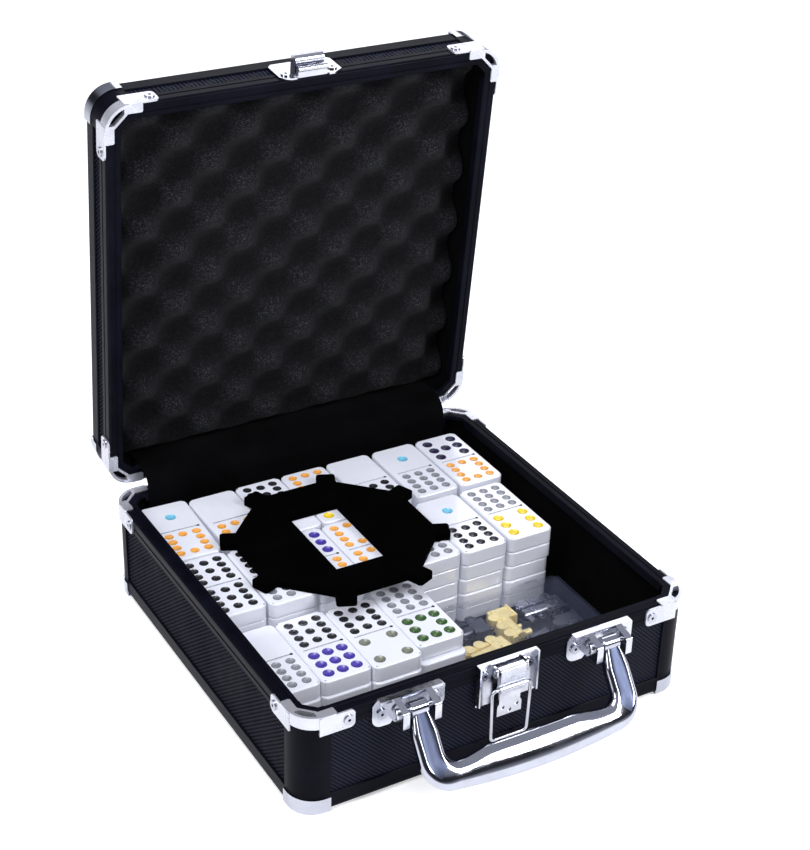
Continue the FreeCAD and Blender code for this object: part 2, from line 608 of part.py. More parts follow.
# ---------------------------------------------------------------- handle
BY, BZ = D("bail_y"), D("bail_z")
for name, cx in (("handle_bracket_left", -49.0), ("handle_bracket_right", 49.0)):
    b = body(name)
    # plate with two round ears; local frame: x along the wall, y up, z out
    sk = sketch(b)
    loop(sk, [(-13.0, 37.3), (-9.0, 37.3), (-6.2, 40.5), (6.2, 40.5), (9.0, 37.3), (13.0, 37.3), (17.6, 42.0), (17.6, 49.0), (15.0, 51.9), (-15.0, 51.9), (-17.6, 49.0), (-17.6, 42.0)],
         {5: (4.8, 1), 11: (4.8, 1)})
    pad(b, sk, 0.9)
    # turned-out flange along the top, and two thick cheeks that carry the pin
    bx(b, -15.0, 50.5, 0, 30.0, 1.4, 3.4)
    for s in (-1, 1):
        f = bx(b, s * 7.7 - 1.6, 41.1, 0, 3.2, 10.8, 12.4)
    b.Tip = f
    for s in (-1, 1):
        f = bx(b, s * 7.7 - 1.8, 51.9, 3.4, 3.6, 5, 12, cut=True)
        f.Placement = PL(V(s * 7.7 - 1.8, 51.9, 3.4), ROT(V(1, 0, 0), 14.0))
    b.Tip = f
    doc.recompute()
    fillet(b, lambda e: e.BoundBox.XLength > 3.1 and e.BoundBox.XLength < 3.3 and e.BoundBox.YLength < 1e-6 and e.BoundBox.ZLength < 1e-6 and abs(e.BoundBox.ZMin - 12.4) < 1e-3, 1.2)
    cy(b, "x", -10, 47.0, 7.5, 1.3, 20, cut=True)
    for s in (-1, 1):
        f = cy(b, "z", s * 13.2, 44.0, -1, 1.2, 4, cut=True)
    b.Tip = f
    # local (x, y, z) -> case (x, z, -y)
    node(name, b, PL(V(cx, -D("case_d") / 2, 0), ROT(V(1, 0, 0), 90)))
b = body("handle_pin_one")
cy(b, "x", -10.4, BY, BZ, 1.3, 20.8)
cy(b, "x", -10.8, BY, BZ, 2.5, 1.5)
f = cy(b, "x", 9.3, BY, BZ, 2.5, 1.5)
b.Tip = f
fillet(b, lambda e: e.BoundBox.XLength < 1e-6 and abs(abs(e.BoundBox.XMin) - 10.8) < 1e-4, 0.9)
group("handle_pins", b.Shape, [PL(V(s * 49.0, 0, 0), ROT()) for s in (-1, 1)])
b = body("handle_rivet_one")
cy(b, "-y", 0, "-Dims.case_d/2-0.9", 0, 2.6, 0.8)
f = cy(b, "-y", 0, "-Dims.case_d/2", 0, 1.2, 1.2)
b.Tip = f
cy(b, "-y", 0, -D("case_d") / 2, 0, 0.7, 4, cut=True)
b.Tip = b.Group[-1]
doc.recompute()
group("handle_rivets", b.Shape, [PL(V(s * 49.0 + k * 13.2, 0, 44.0), ROT()) for s in (-1, 1) for k in (-1, 1)])
# bail: one flat-sided strap bent to a U, its two ends rolled round the pins. Local frame: x along the wall, y down the arms, z out of the strap's face
b = body("handle_bail")
H, L, W2, T2 = "49", "Dims.bail_len", "Dims.bail_w/2", "Dims.bail_t/2"
sk = sketch(b, "-(Dims.bail_t/2)")
ri, ro = 4.5, 15.5
loop(sk, [(-53.2, 1.5), (-44.8, 1.5), (-43.0, 12), (-43.0, "Dims.bail_len-Dims.bail_w/2-4.5"), (-38.5, "Dims.bail_len-Dims.bail_w/2"), (38.5, "Dims.bail_len-Dims.bail_w/2"), (43.0, "Dims.bail_len-Dims.bail_w/2-4.5"), (43.0, 12), (44.8, 1.5), (53.2, 1.5), (55.0, 12),
          (55.0, "Dims.bail_len+Dims.bail_w/2-14"), (41.0, "Dims.bail_len+Dims.bail_w/2"), (-41.0, "Dims.bail_len+Dims.bail_w/2"), (-55.0, "Dims.bail_len+Dims.bail_w/2-14"), (-55.0, 12)],
     {3: (4.5, -1), 4: (420, -1), 5: (4.5, -1), 11: (14, 1), 12: (420, 1), 13: (14, 1)})
pad(b, sk, "Dims.bail_t")
fillet(b, lambda e: e.BoundBox.ZLength < 1e-6 and e.BoundBox.YMax > 3, 2.5)
for s in (-1, 1):
    f = cy(b, "x", s * 49.0 - 4.2, 0, 0, 3.6, 8.4)
for s in (-1, 1):
    f = cy(b, "x", s * 49.0 - 6, 0, 0, 1.35, 12, cut=True)
b.Tip = f
# local x -> x, y -> down and out, z -> out and up
bd = math.radians(D("bail_deg"))
ydir = V(0, -math.sin(bd), -math.cos(bd))
zdir = V(1, 0, 0).cross(ydir)
mt = FreeCAD.Matrix(1, ydir.x, zdir.x, 0, 0, ydir.y, zdir.y, BY, 0, ydir.z, zdir.z, BZ, 0, 0, 0, 1)
node("handle_bail", b, PL(mt))

# ---------------------------------------------------------------- latch on the base's front, catch on the lid's front
# local frame of the plate: x along the wall, y up, z out; the wall's rail face is z = 0
OUT = PL(V(0, -D("case_d") / 2, 0), ROT(V(1, 0, 0), 90))
LY, LZ = 48.0, 3.5          # lever pin: height, distance out
RY, RZ = 39.2, 5.3          # loop pivot in the lever
b = body("latch_base_plate")
bx(b, "-Dims.latch_w/2", 29.6, 0, "Dims.latch_w", 22.3, 0.8)
bx(b, "-Dims.latch_w/2", 31.0, 0, 0.8, 20.9, 3.4)
bx(b, "Dims.latch_w/2-0.8", 31.0, 0, 0.8, 20.9, 3.4)
f = bx(b, "-Dims.latch_w/2", 51.1, 0, "Dims.latch_w", 0.8, 1.7)
b.Tip = f
for s in (-1, 1):
    f = bx(b, s * 7.7 - 0.4, 45.4, 0, 0.8, 5.1, 5.6)
    b.Tip = f
fillet(b, lambda e: e.BoundBox.XLength < 1e-6 and e.BoundBox.YLength < 1e-6 and False or (e.BoundBox.XLength > 0.7 and e.BoundBox.XLength < 0.9 and e.BoundBox.YLength < 1e-6 and e.BoundBox.ZLength < 1e-6 and abs(e.BoundBox.ZMin - 5.6) < 1e-3), 1.8)
cy(b, "x", -10, LY, LZ, 0.8, 20, cut=True)
for s in (-1, 1):
    f = cy(b, "z", s * 11.3, 45.5, -1, 1.2, 4, cut=True)
b.Tip = f
node("latch_base_plate", b, OUT)
b = body("latch_rivet_one")
cy(b, "z", 0, 45.5, 0.8, 2.3, 0.7)
cy(b, "z", 0, 45.5, 0, 1.15, 0.8)
f = cy(b, "z", 0, 45.5, -2, 0.7, 5, cut=True)
b.Tip = f
doc.recompute()
for s in (-1, 1):
    RIVETS["base_"] += moved(b.Shape, OUT.multiply(PL(V(s * 11.3, 0, 0), ROT())))
f = doc.addObject("Part::Feature", "base_hollow_rivets")
f.Shape = Part.makeCompound(RIVETS["base_"])
node("base_hollow_rivets", f)
b = body("latch_lever_pin")
f = cy(b, "x", -8.7, LY, LZ, 0.8, 17.4)
b.Tip = f
node("latch_lever_pin", b, OUT)
b = body("latch_lever")
cy(b, "x", -6.4, LY, LZ, 1.8, 12.8)
f = bx(b, -6.4, 41.8, 3.6, 12.8, 8.0, 2.8)
b.Tip = f
fillet(b, lambda e: e.BoundBox.XLength > 12.7 and e.BoundBox.YLength < 1e-6 and e.BoundBox.ZLength < 1e-6 and abs(e.BoundBox.ZMin - 6.4) < 1e-3, 0.8)
cy(b, "x", -6.4, RY, RZ, 1.9, 12.8)
bx(b, -6.4, 40.0, 3.9, 12.8, 3.0, 1.4)
bx(b, -5.4, 28.2, 3.6, 10.8, 10.8, 1.0)
bx(b, -6.3, 24.0, 3.6, 12.6, 4.6, 1.0)
for s in (-1, 1):
    f = cy(b, "z", s * 3.9, 28.6, 3.6, 2.4, 1.0)
    b.Tip = f
for x, y in ((-3.6, 28.4), (3.6, 28.4), (0.0, 26.2)):
    f = cy(b, "z", x, y, 4.1, 1.2, 1.0, cut=True)
b.Tip = f
cy(b, "x", -8, LY, LZ, 0.85, 16, cut=True)
f = cy(b, "x", -8, RY, RZ, 0.85, 16, cut=True)
b.Tip = f
node("latch_lever", b, OUT)
# wire loop: two legs, a bottom, and two ends turned in to the lever
pts = [V(5.6, RY, RZ), V(10.0, RY, RZ), V(9.2, 12.3, RZ), V(-9.2, 12.3, RZ), V(-10.0, RY, RZ), V(-5.6, RY, RZ)]
bend = 2.0
eds = []
cur = pts[0]
for i in range(1, len(pts) - 1):
    a = (pts[i - 1] - pts[i]).normalize()
    c = (pts[i + 1] - pts[i]).normalize()
    half = math.acos(max(-1, min(1, a.dot(c)))) / 2
    tl = bend / math.tan(half)
    p1, p2 = pts[i] + a * tl, pts[i] + c * tl
    mid = pts[i] + (a + c).normalize() * (bend / math.sin(half) - bend)
    eds.append(Part.LineSegment(cur, p1).toShape())
    eds.append(Part.Arc(p1, mid, p2).toShape())
    cur = p2
eds.append(Part.LineSegment(cur, pts[-1]).toShape())
wire = Part.Wire(eds)
prof = Part.Wire([Part.Circle(pts[0], V(1, 0, 0), D("wire_r")).toShape()])
lp = wire.makePipeShell([prof], True, True)
f = doc.addObject("Part::Feature", "latch_wire_loop")
f.Shape = lp if lp.ShapeType == "Solid" else lp.Solids[0]
node("latch_wire_loop", f, OUT)
# catch: riveted wings, a raised double roll between them
b = body("lid_catch")
s0 = D("base_ht") + D("shut_gap") + 0.4
sk = sketch(b)
loop(sk, [(-11.0, s0), (-8.2, s0), (-8.2, s0 + 1.4), (8.2, s0 + 1.4), (8.2, s0), (11.0, s0), (15.8, s0 + 3.0), (15.8, s0 + 14.5), (13.8, s0 + 16.6), (-13.8, s0 + 16.6), (-15.8, s0 + 14.5), (-15.8, s0 + 3.0)])
pad(b, sk, 0.8)
bx(b, -7.3, s0 + 1.0, 0, 14.6, 2.3, 3.8)
cy(b, "x", -7.3, s0 + 1.7, 3.8, 1.3, 14.6)
bx(b, -7.3, s0 + 4.6, 0, 14.6, 4.6, 6.1)
f = cy(b, "x", -7.3, s0 + 6.6, 6.1, 2.7, 14.6)
b.Tip = f
for s in (-1, 1):
    f = cy(b, "z", s * 11.8, s0 + 4.8, -1, 1.2, 4, cut=True)
b.Tip = f
node("lid_catch", b, OPEN.multiply(OUT))
b = body("catch_rivet_one")
cy(b, "z", 0, s0 + 4.8, 0.8, 2.3, 0.7)
cy(b, "z", 0, s0 + 4.8, 0, 1.15, 0.8)
f = cy(b, "z", 0, s0 + 4.8, -2, 0.7, 5, cut=True)
b.Tip = f
doc.recompute()
for s in (-1, 1):
    RIVETS["lid_"] += moved(b.Shape, OPEN.multiply(OUT).multiply(PL(V(s * 11.8, 0, 0), ROT())))
f = doc.addObject("Part::Feature", "lid_hollow_rivets")
f.Shape = Part.makeCompound(RIVETS["lid_"])
node("lid_hollow_rivets", f)

# ---------------------------------------------------------------- dominoes
b = body("domino_blank")
bx(b, "-Dims.tile_w/2", "-Dims.tile_l/2", 0, "Dims.tile_w", "Dims.tile_l", "Dims.tile_t")
fillet(b, vertical, 3.2)
fillet(b, lambda e: e.BoundBox.ZLength < 1e-6, 0.9)
doc.recompute()
BLANK = b.Shape.copy()
TW, TL, TT = D("tile_w"), D("tile_l"), D("tile_t")
Z0 = 1.6 + D("floor_t") + D("lining_t")
# spots on a 24-place half: four columns across three rows of places, each half square
def half(n):
    a, c = 7.0, 7.0
    g3 = [-a, 0, a]
    g4 = [-7.8, -2.6, 2.6, 7.8]
    P = {
        0: [], 1: [(0, 0)], 2: [(-a, c), (a, -c)], 3: [(-a, c), (0, 0), (a, -c)], 4: [(x, y) for x in (-a, a) for y in (-c, c)],
        6: [(x, y) for x in (-a, a) for y in g3], 8: [(x, y) for x in g3 for y in g3 if (x, y) != (0, 0)],
        9: [(x, y) for x in g3 for y in g3], 12: [(x, y) for x in g3 for y in g4],
        10: [(x, y) for x in (-a, a) for y in g4] + [(0, -7.8), (0, 7.8)],
        11: [(x, y) for x in (-a, a) for y in g4] + [(0, y) for y in (-a, 0, a)],
    }
    P[5] = P[4] + [(0, 0)]
    P[7] = P[6] + [(0, 0)]
    return P[n]


def face_cut(top, low):
    """Groove across the middle and the dimples of both halves; top half away from the front."""
    cut = [Part.makeBox(19.2, 0.9, 1.0, V(-9.6, -0.45, TT - 0.35)), Part.makeCylinder(0.75, 1.2, V(9.6, 0, TT - 0.5))]
    for n, yc in ((top, 12.1), (low, -12.1)):
        r = D("spot_r_small") if n >= 10 else D("spot_r")
        rs = D("spot_ball")
        h = math.sqrt(rs * rs - r * r)
        for x, y in half(n):
            cut.append(Part.makeSphere(rs, V(x, yc + y, TT + h)))
    out = BLANK.cut(cut)
    return out.Solids[0]


# where each stack stands: middle x and y, turn in degrees, spots of its top tile
ROW1 = [(-80.3, 65.4, -2.4, 1, 10), (-54.2, 62.9, 0, 0, 10), (-28.9, 63.0, 0, 11, 0), (-3.6, 62.8, 0, 10, 6), (22.2, 62.9, 0, 0, 11), (48.6, 62.3, 0, 1, 12), (74.4, 61.8, 0, 7, 10)]
ROW2 = [(-82.2, 14.4, -0.6, 11, 11), (-56.9, 12.6, 0, 11, 12), (-32.0, 12.3, 0, 9, 10), (-6.9, 12.0, 0, 10, 10), (18.2, 9.8, 0, 2, 12), (43.3, 8.5, 0, 1, 11), (68.8, 7.9, 0, 12, 6)]
ROW3 = [(-82.4, -38.8, 0, 0, 12), (-57.6, -39.6, 0, 11, 9), (-32.8, -41.2, 0, 11, 4), (-8.0, -36.5, 0, 12, 8)]


def tile_at(shape, x, y, z, turn):
    c = shape.copy()
    c.Placement = PL(V(x, y, z), ROT(V(0, 0, 1), turn))
    return c


# under each top tile the stack leans a little: offsets by layer, from the lowest up
LEAN = {
    1: [(0.0, -0.2), (0.15, 0.5), (-0.1, 0.1), (0.1, 0.4)],
    2: [(-0.3, 0.3), (-0.35, -0.2), (-0.2, 0.2), (0.0, 0.1)],
    3: [(0.0, -0.9), (0.1, -0.5), (-0.1, -1.0)],
}
LIFT = "domino_twelve_six"


def stacks(row, layout, layers, skip_top=()):
    tops, lows = [], []
    for k, (x, y, turn, a, c) in enumerate(layout):
        for n in range(layers - 1):
            dx, dy = LEAN[row][n]
            dx2 = 0.0
            if row == 2 and k >= 4 and n < 3:      # the right-hand stacks lean left lower down
                dx2 = -0.25 * (k - 3)
            if row == 2 and k == 3:                 # one middle stack stands a little further back below its top tile
                dy = 1.3
            if row == 1 and k == 3:
                dy = max(dy, 0.4)
            if row == 3 and k == 3:                 # one lower tile stands out in front of the last stack
                dy += -2.2 if n == layers - 2 else 0
            lows.append(tile_at(BLANK, x + dx + dx2, y + dy, Z0 + n * TT, 0))
        if k not in skip_top:
            tops.append(tile_at(face_cut(a, c), x, y, Z0 + (layers - 1) * TT, turn))
    return tops, lows


def tiles_node(name, solids):
    f = doc.addObject("Part::Feature", name)
    f.Shape = Part.makeCompound(solids)
    return node(name, f)


t1, l1 = stacks(1, ROW1, 5)
t2, l2 = stacks(2, ROW2, 5, skip_top=(6,))
t3, l3 = stacks(3, ROW3, 4)
tiles_node("dominoes_back_row_lower", l1)
tiles_node("dominoes_back_row_top", t1)
tiles_node("dominoes_middle_row_lower", l2)
tiles_node("dominoes_middle_row_top", t2)
tiles_node("dominoes_front_row_lower", l3)
tiles_node("dominoes_front_row_top", t3)
x, y, turn, a, c = ROW2[6]
f = doc.addObject("Part::Feature", LIFT)
f.Shape = face_cut(a, c)
node(LIFT, f, PL(V(x, y, Z0 + 4 * TT + 0.3), ROT()))

# ---------------------------------------------------------------- hub: flat eight-sided plate, a knob at each point, one tile-sized window
b = body("hub")
ap = D("hub_apo")
cr = ap / math.cos(math.pi / 8)
sk = sketch(b)
loop(sk, [(cr * math.cos(math.radians(22.5 + 45 * i)), cr * math.sin(math.radians(22.5 + 45 * i))) for i in range(8)])
loop(sk, [("-Dims.hub_win_w/2", "-Dims.hub_win_l/2-1.2"), ("-Dims.hub_win_w/2", "Dims.hub_win_l/2-1.2"), ("Dims.hub_win_w/2", "Dims.hub_win_l/2-1.2"), ("Dims.hub_win_w/2", "-Dims.hub_win_l/2-1.2")])
pad(b, sk, "Dims.hub_t")
for i in range(8):
    an = math.radians(22.5 + 45 * i)
    f = b.newObject("PartDesign::AdditiveBox", "Knob")
    f.Length, f.Width = 8.2, 9.6
    f.setExpression("Height", "Dims.hub_t")
    f.Placement = PL(V((cr - 2.6) * math.cos(an) + 4.8 * math.sin(an), (cr - 2.6) * math.sin(an) - 4.8 * math.cos(an), 0), ROT(V(0, 0, 1), 22.5 + 45 * i))
b.Tip = f
fillet(b, lambda e: vertical(e) and math.hypot(e.Vertexes[0].X, e.Vertexes[0].Y) > cr + 4.5, 1.6)
fillet(b, lambda e: e.BoundBox.ZLength < 1e-6 and abs(e.BoundBox.ZMin - D("hub_t")) < 1e-6, 0.7)
node("hub", b, PL(V(-18.3, 22.2, Z0 + 5 * TT + 0.3), ROT()))

# ---------------------------------------------------------------- marker box with its hinged lid, and the train markers
BX, BYY = 45.4, -55.2
bz = Z0 + 0.3
b = body("marker_box_tray")
bx(b, "-Dims.box_w/2", "-Dims.box_l/2", 0, "Dims.box_w", "Dims.box_l", "Dims.box_h-2")
fillet(b, vertical, 2.0)
f = bx(b, "-Dims.box_w/2+Dims.box_wall", "-Dims.box_l/2+Dims.box_wall", "Dims.box_wall", "Dims.box_w-2*Dims.box_wall", "Dims.box_l-2*Dims.box_wall", "Dims.box_h", cut=True)
for s in (-1, 1):
    f = bx(b, s * 22 - 3, "Dims.box_l/2-1.6", "Dims.box_h-2.4", 6, 1.6, 1.2)
    f = cy(b, "x", s * 22 - 3, "Dims.box_l/2-1.5", "Dims.box_h-0.8", 1.2, 6)
for s in (-1, 1):
    f = cy(b, "x", s * 22 - 4, "Dims.box_l/2-1.5", "Dims.box_h-0.8", 0.6, 8, cut=True)
b.Tip = f
node("marker_box_tray", b, PL(V(BX, BYY, bz), ROT()))
b = body("marker_box_lid")
bx(b, "-Dims.box_w/2", "-Dims.box_l/2", "Dims.box_h-1.6", "Dims.box_w", "Dims.box_l-4", 1.6)
fillet(b, lambda e: vertical(e) and e.Vertexes[0].Y < 0, 2.0)
for s in (-1, 1):
    for q in (-1, 1):
        f = bx(b, s * 22 + (3.3 if q > 0 else -6.3), "Dims.box_l/2-5", "Dims.box_h-1.6", 3.0, 3.6, 1.4)
        f = cy(b, "x", s * 22 + (3.3 if q > 0 else -6.3), "Dims.box_l/2-1.5", "Dims.box_h-0.8", 0.9, 3.0)
for s in (-1, 1):
    f = cy(b, "x", s * 22 - 8, "Dims.box_l/2-1.5", "Dims.box_h-0.8", 0.55, 16)
b.Tip = f
node("marker_box_lid", b, PL(V(BX, BYY, bz), ROT()))
# train marker: boiler, cab, chimney, frame and wheels, cast in one
def train():
    k = 1.25
    s = Part.makeBox(19 * k, 5.4, 1.8 * k, V(-9.5 * k, -2.7, 2.2 * k))
    s = s.fuse(Part.makeCylinder(3.3, 11 * k, V(-8.5 * k, 0, 6.4 * k), V(1, 0, 0)))
    s = s.fuse(Part.makeBox(6.6 * k, 6.4, 7.6 * k, V(2.4 * k, -3.2, 3.2 * k)))
    s = s.fuse(Part.makeBox(7.8 * k, 7.2, 1.0 * k, V(1.8 * k, -3.6, 10.4 * k)))
    s = s.fuse(Part.makeCylinder(1.3 * k, 4.0 * k, V(-6.4 * k, 0, 8.0 * k), V(0, 0, 1)))
    s = s.fuse(Part.makeCylinder(0.9 * k, 2.0 * k, V(-1.8 * k, 0, 8.6 * k), V(0, 0, 1)))
    for x in (-6.4, -1.2, 4.6):
        s = s.fuse(Part.makeCylinder(2.3 * k, 6.6, V(x * k, -3.3, 2.3 * k), V(0, 1, 0)))
    return s.removeSplitter()


TR = train()
lay = ROT(V(1, 0, 0), 90)       # lying on its side, wheels to the front


def lying(x, y, turn):
    # lies on its side in the tray: lowest point on the tray's floor
    return PL(V(x, y, bz + D("box_wall") + 3.65), ROT(V(0, 0, 1), turn)).multiply(PL(V(0, 7.5, 0), lay))


TRAINS = {
    "train_markers_gold": [(45.3, -35.5, 91), (25.1, -49.3, 9)],
    "train_markers_silver": [(66.8, -31.0, 0), (33.2, -76.0, 20), (66.8, -80.5, 3)],
    "train_markers_dark": [(23.8, -30.7, 0), (52.3, -60.2, 96), (70.8, -53.4, 87)],
}
for name, spots in TRAINS.items():
    f = doc.addObject("Part::Feature", name)
    out = []
    for x, y, turn in spots:
        c = TR.copy()
        c.Placement = lying(x, y, turn)
        out.append(c.Solids[0] if c.ShapeType != "Solid" else c)
    f.Shape = Part.makeCompound(out)
    node(name, f)

# ---------------------------------------------------------------- check and write
doc.recompute()
bad = []
for o in doc.Objects:
    st = [str(q) for q in o.State]
    if "Invalid" in st or "Error" in st:
        bad.append("%s: %s" % (o.Label, st))
for name, o in NODES.items():
    if o.Shape.isNull() or not o.Shape.isValid() or not o.Shape.Solids:
        bad.append("%s: shape null %s valid %s" % (name, o.Shape.isNull(), (not o.Shape.isNull()) and o.Shape.isValid()))
if bad:
    raise RuntimeError("; ".join(bad))
os.makedirs("parts", exist_ok=True)
for old in os.listdir("parts"):
    if old.endswith(".step") and old[:-5] not in NODES:
        os.remove(os.path.join("parts", old))
for name, o in NODES.items():
    o.Shape.exportStep("parts/%s.step" % name)
    bb = o.Shape.BoundBox
    print("%-34s solids %2d vol %10.1f  x %7.2f..%7.2f y %7.2f..%7.2f z %7.2f..%7.2f" % (name, len(o.Shape.Solids), o.Shape.Volume, bb.XMin, bb.XMax, bb.YMin, bb.YMax, bb.ZMin, bb.ZMax))
print(len(NODES), "nodes")
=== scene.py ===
import bpy, bmesh, math, random
from mathutils import Matrix, Vector, noise


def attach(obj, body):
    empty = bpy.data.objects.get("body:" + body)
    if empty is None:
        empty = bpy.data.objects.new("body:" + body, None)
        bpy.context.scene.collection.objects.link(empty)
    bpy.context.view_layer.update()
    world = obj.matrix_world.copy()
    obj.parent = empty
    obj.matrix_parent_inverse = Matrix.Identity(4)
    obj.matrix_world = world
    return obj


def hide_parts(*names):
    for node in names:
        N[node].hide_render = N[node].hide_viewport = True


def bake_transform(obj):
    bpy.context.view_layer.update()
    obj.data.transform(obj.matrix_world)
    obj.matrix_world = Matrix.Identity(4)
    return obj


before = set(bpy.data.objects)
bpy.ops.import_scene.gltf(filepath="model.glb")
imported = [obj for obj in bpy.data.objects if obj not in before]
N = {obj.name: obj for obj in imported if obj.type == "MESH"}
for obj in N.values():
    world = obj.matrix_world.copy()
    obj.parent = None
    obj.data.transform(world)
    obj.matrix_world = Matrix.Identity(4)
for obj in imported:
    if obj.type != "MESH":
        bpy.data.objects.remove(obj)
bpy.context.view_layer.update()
MM = 0.001


def V(x, y, z):
    return Vector((x * MM, y * MM, z * MM))


# ------------------------------------------------------------------ materials
class Mat:
    """A node material under construction: self.n adds a node, self.l links two sockets."""

    def __init__(self, name, color=(0.5, 0.5, 0.5), rough=0.5, metal=0.0, **more):
        self.m = bpy.data.materials.new(name)
        self.m.use_nodes = True
        self.t = self.m.node_tree
        self.b = self.t.nodes["Principled BSDF"]
        self.set("Base Color", (*color, 1.0))
        self.set("Roughness", rough)
        self.set("Metallic", metal)
        for k, v in more.items():
            self.set(k.replace("_", " "), v)
        self.co = None

    def set(self, name, v):
        self.b.inputs[name].default_value = v

    def n(self, kind, **props):
        x = self.t.nodes.new(kind)
        for k, v in props.items():
            if k.startswith("i_"):
                x.inputs[k[2:].replace("_", " ")].default_value = v
            else:
                setattr(x, k, v)
        return x

    def l(self, a, b):
        self.t.links.new(a, b)

    def coords(self, scale=(1, 1, 1), rot=(0, 0, 0)):
        if self.co is None:
            self.co = self.n("ShaderNodeTexCoord").outputs["Object"]
        mp = self.n("ShaderNodeMapping")
        mp.inputs["Scale"].default_value = scale
        mp.inputs["Rotation"].default_value = rot
        self.l(self.co, mp.inputs["Vector"])
        return mp.outputs["Vector"]

    def noise(self, scale, detail=3.0, rough=0.5, vec=None, stretch=(1, 1, 1), rot=(0, 0, 0)):
        x = self.n("ShaderNodeTexNoise")
        x.inputs["Scale"].default_value = scale
        x.inputs["Detail"].default_value = detail
        x.inputs["Roughness"].default_value = rough
        self.l(vec or self.coords(stretch, rot), x.inputs["Vector"])
        return x.outputs["Fac"]

    def voronoi(self, scale, feature="F1", vec=None, stretch=(1, 1, 1), rand=1.0, out="Distance"):
        x = self.n("ShaderNodeTexVoronoi", feature=feature)
        x.inputs["Scale"].default_value = scale
        x.inputs["Randomness"].default_value = rand
        self.l(vec or self.coords(stretch), x.inputs["Vector"])
        return x.outputs[out]

    def ramp(self, src, lo, hi, a=0.0, b=1.0, clamp=True):
        x = self.n("ShaderNodeMapRange", clamp=clamp)
        x.inputs["From Min"].default_value = lo
        x.inputs["From Max"].default_value = hi
        x.inputs["To Min"].default_value = a
        x.inputs["To Max"].default_value = b
        self.l(src, x.inputs["Value"])
        return x.outputs["Result"]

    def math(self, op, a, b=None, c=None, clamp=False):
        x = self.n("ShaderNodeMath", operation=op, use_clamp=clamp)
        for i, v in enumerate((a, b, c)):
            if v is None:
                continue
            if isinstance(v, (int, float)):
                x.inputs[i].default_value = v
            else:
                self.l(v, x.inputs[i])
        return x.outputs[0]

    def mix(self, fac, a, b, blend="MIX"):
        x = self.n("ShaderNodeMix", data_type="RGBA", blend_type=blend)
        for s, v in (("Factor", fac), ("A", a), ("B", b)):
            sock = [q for q in x.inputs if q.name == s and (q.type == "RGBA" if s != "Factor" else q.type == "VALUE")][0]
            if isinstance(v, (int, float)):
                sock.default_value = v
            elif isinstance(v, tuple):
                sock.default_value = (*v, 1.0) if len(v) == 3 else v
            else:
                self.l(v, sock)
        return [q for q in x.outputs if q.type == "RGBA"][0]

    def color(self, src):
        self.l(src, self.b.inputs["Base Color"])

    def rough(self, src):
        self.l(src, self.b.inputs["Roughness"])

    def bump(self, height, strength, dist, prev=None):
        x = self.n("ShaderNodeBump")
        x.inputs["Strength"].default_value = strength
        x.inputs["Distance"].default_value = dist
        self.l(height, x.inputs["Height"])
        if prev is not None:
            self.l(prev, x.inputs["Normal"])
        return x.outputs["Normal"]

    def normal(self, src):
        self.l(src, self.b.inputs["Normal"])


def sep(M, vec):
    x = M.n("ShaderNodeSeparateXYZ")
    M.l(vec, x.inputs[0])
    return x.outputs


def m_velvet():
    M = Mat("velvet_black", (0.0014, 0.0014, 0.0018), 0.92, Sheen_Weight=0.012, Sheen_Roughness=0.4, Specular_IOR_Level=0.03)
    patches = M.noise(38, 3, 0.6)
    M.color(M.mix(M.ramp(patches, 0.35, 0.7), (0.0008, 0.0008, 0.001), (0.0022, 0.0022, 0.0028)))
    pile = M.noise(2600, 2, 0.7)
    M.rough(M.ramp(patches, 0.3, 0.7, 0.82, 0.98))
    M.normal(M.bump(pile, 0.35, 0.0003, M.bump(patches, 0.2, 0.0006)))
    return M.m


def m_flock():
    M = Mat("hub_flock_black", (0.0006, 0.0006, 0.0008), 0.95, Sheen_Weight=0.001, Sheen_Roughness=0.5, Specular_IOR_Level=0.01)
    patches = M.noise(60, 3, 0.6)
    M.color(M.mix(M.ramp(patches, 0.35, 0.7), (0.0004, 0.0004, 0.0005), (0.0009, 0.0009, 0.0011)))
    M.rough(M.ramp(patches, 0.3, 0.7, 0.88, 1.0))
    M.normal(M.bump(M.noise(3200, 2, 0.7), 0.25, 0.0002))
    return M.m


def m_foam():
    M = Mat("open_cell_foam", (0.012, 0.012, 0.013), 0.95, Specular_IOR_Level=0.10, Sheen_Weight=0.03, Sheen_Roughness=0.6)
    at = M.n("ShaderNodeAttribute", attribute_name="height")
    ht = at.outputs["Fac"]                       # 0 in the hollows, 1 on the bumps
    cells = M.voronoi(1900)
    pick = M.n("ShaderNodeSeparateXYZ")
    M.l(M.voronoi(2100, out="Color"), pick.inputs[0])
    fine = M.noise(2600, 3, 0.7)
    big = M.noise(30, 3, 0.6)
    # painted light and shade: the bumps are coloured lighter and the hollows darker, as if lit on the bumps and shaded
    # in the hollows; a broad noise varies it
    painted_bump_light = M.ramp(M.math("ADD", ht, M.ramp(big, 0.2, 0.8, -0.16, 0.16)), 0.40, 1.02)
    base = M.mix(painted_bump_light, (0.0018, 0.0018, 0.0026), (0.0098, 0.0098, 0.0125))
    base = M.mix(M.ramp(cells, 0.15, 0.75), base, (0.0022, 0.0022, 0.0027))
    # painted glints: light specks on random cells, made stronger where the painted light on the bumps is brighter
    painted_glint_specks = M.math("MULTIPLY", M.ramp(pick.outputs["X"], 0.62, 1.0), M.ramp(painted_bump_light, 0.0, 1.0, 0.2, 1.0))
    M.color(M.mix(painted_glint_specks, base, (0.036, 0.036, 0.043)))
    M.rough(M.ramp(fine, 0.3, 0.7, 0.8, 1.0))
    M.normal(M.bump(cells, 0.45, 0.0004, M.bump(fine, 0.3, 0.0003)))
    return M.m


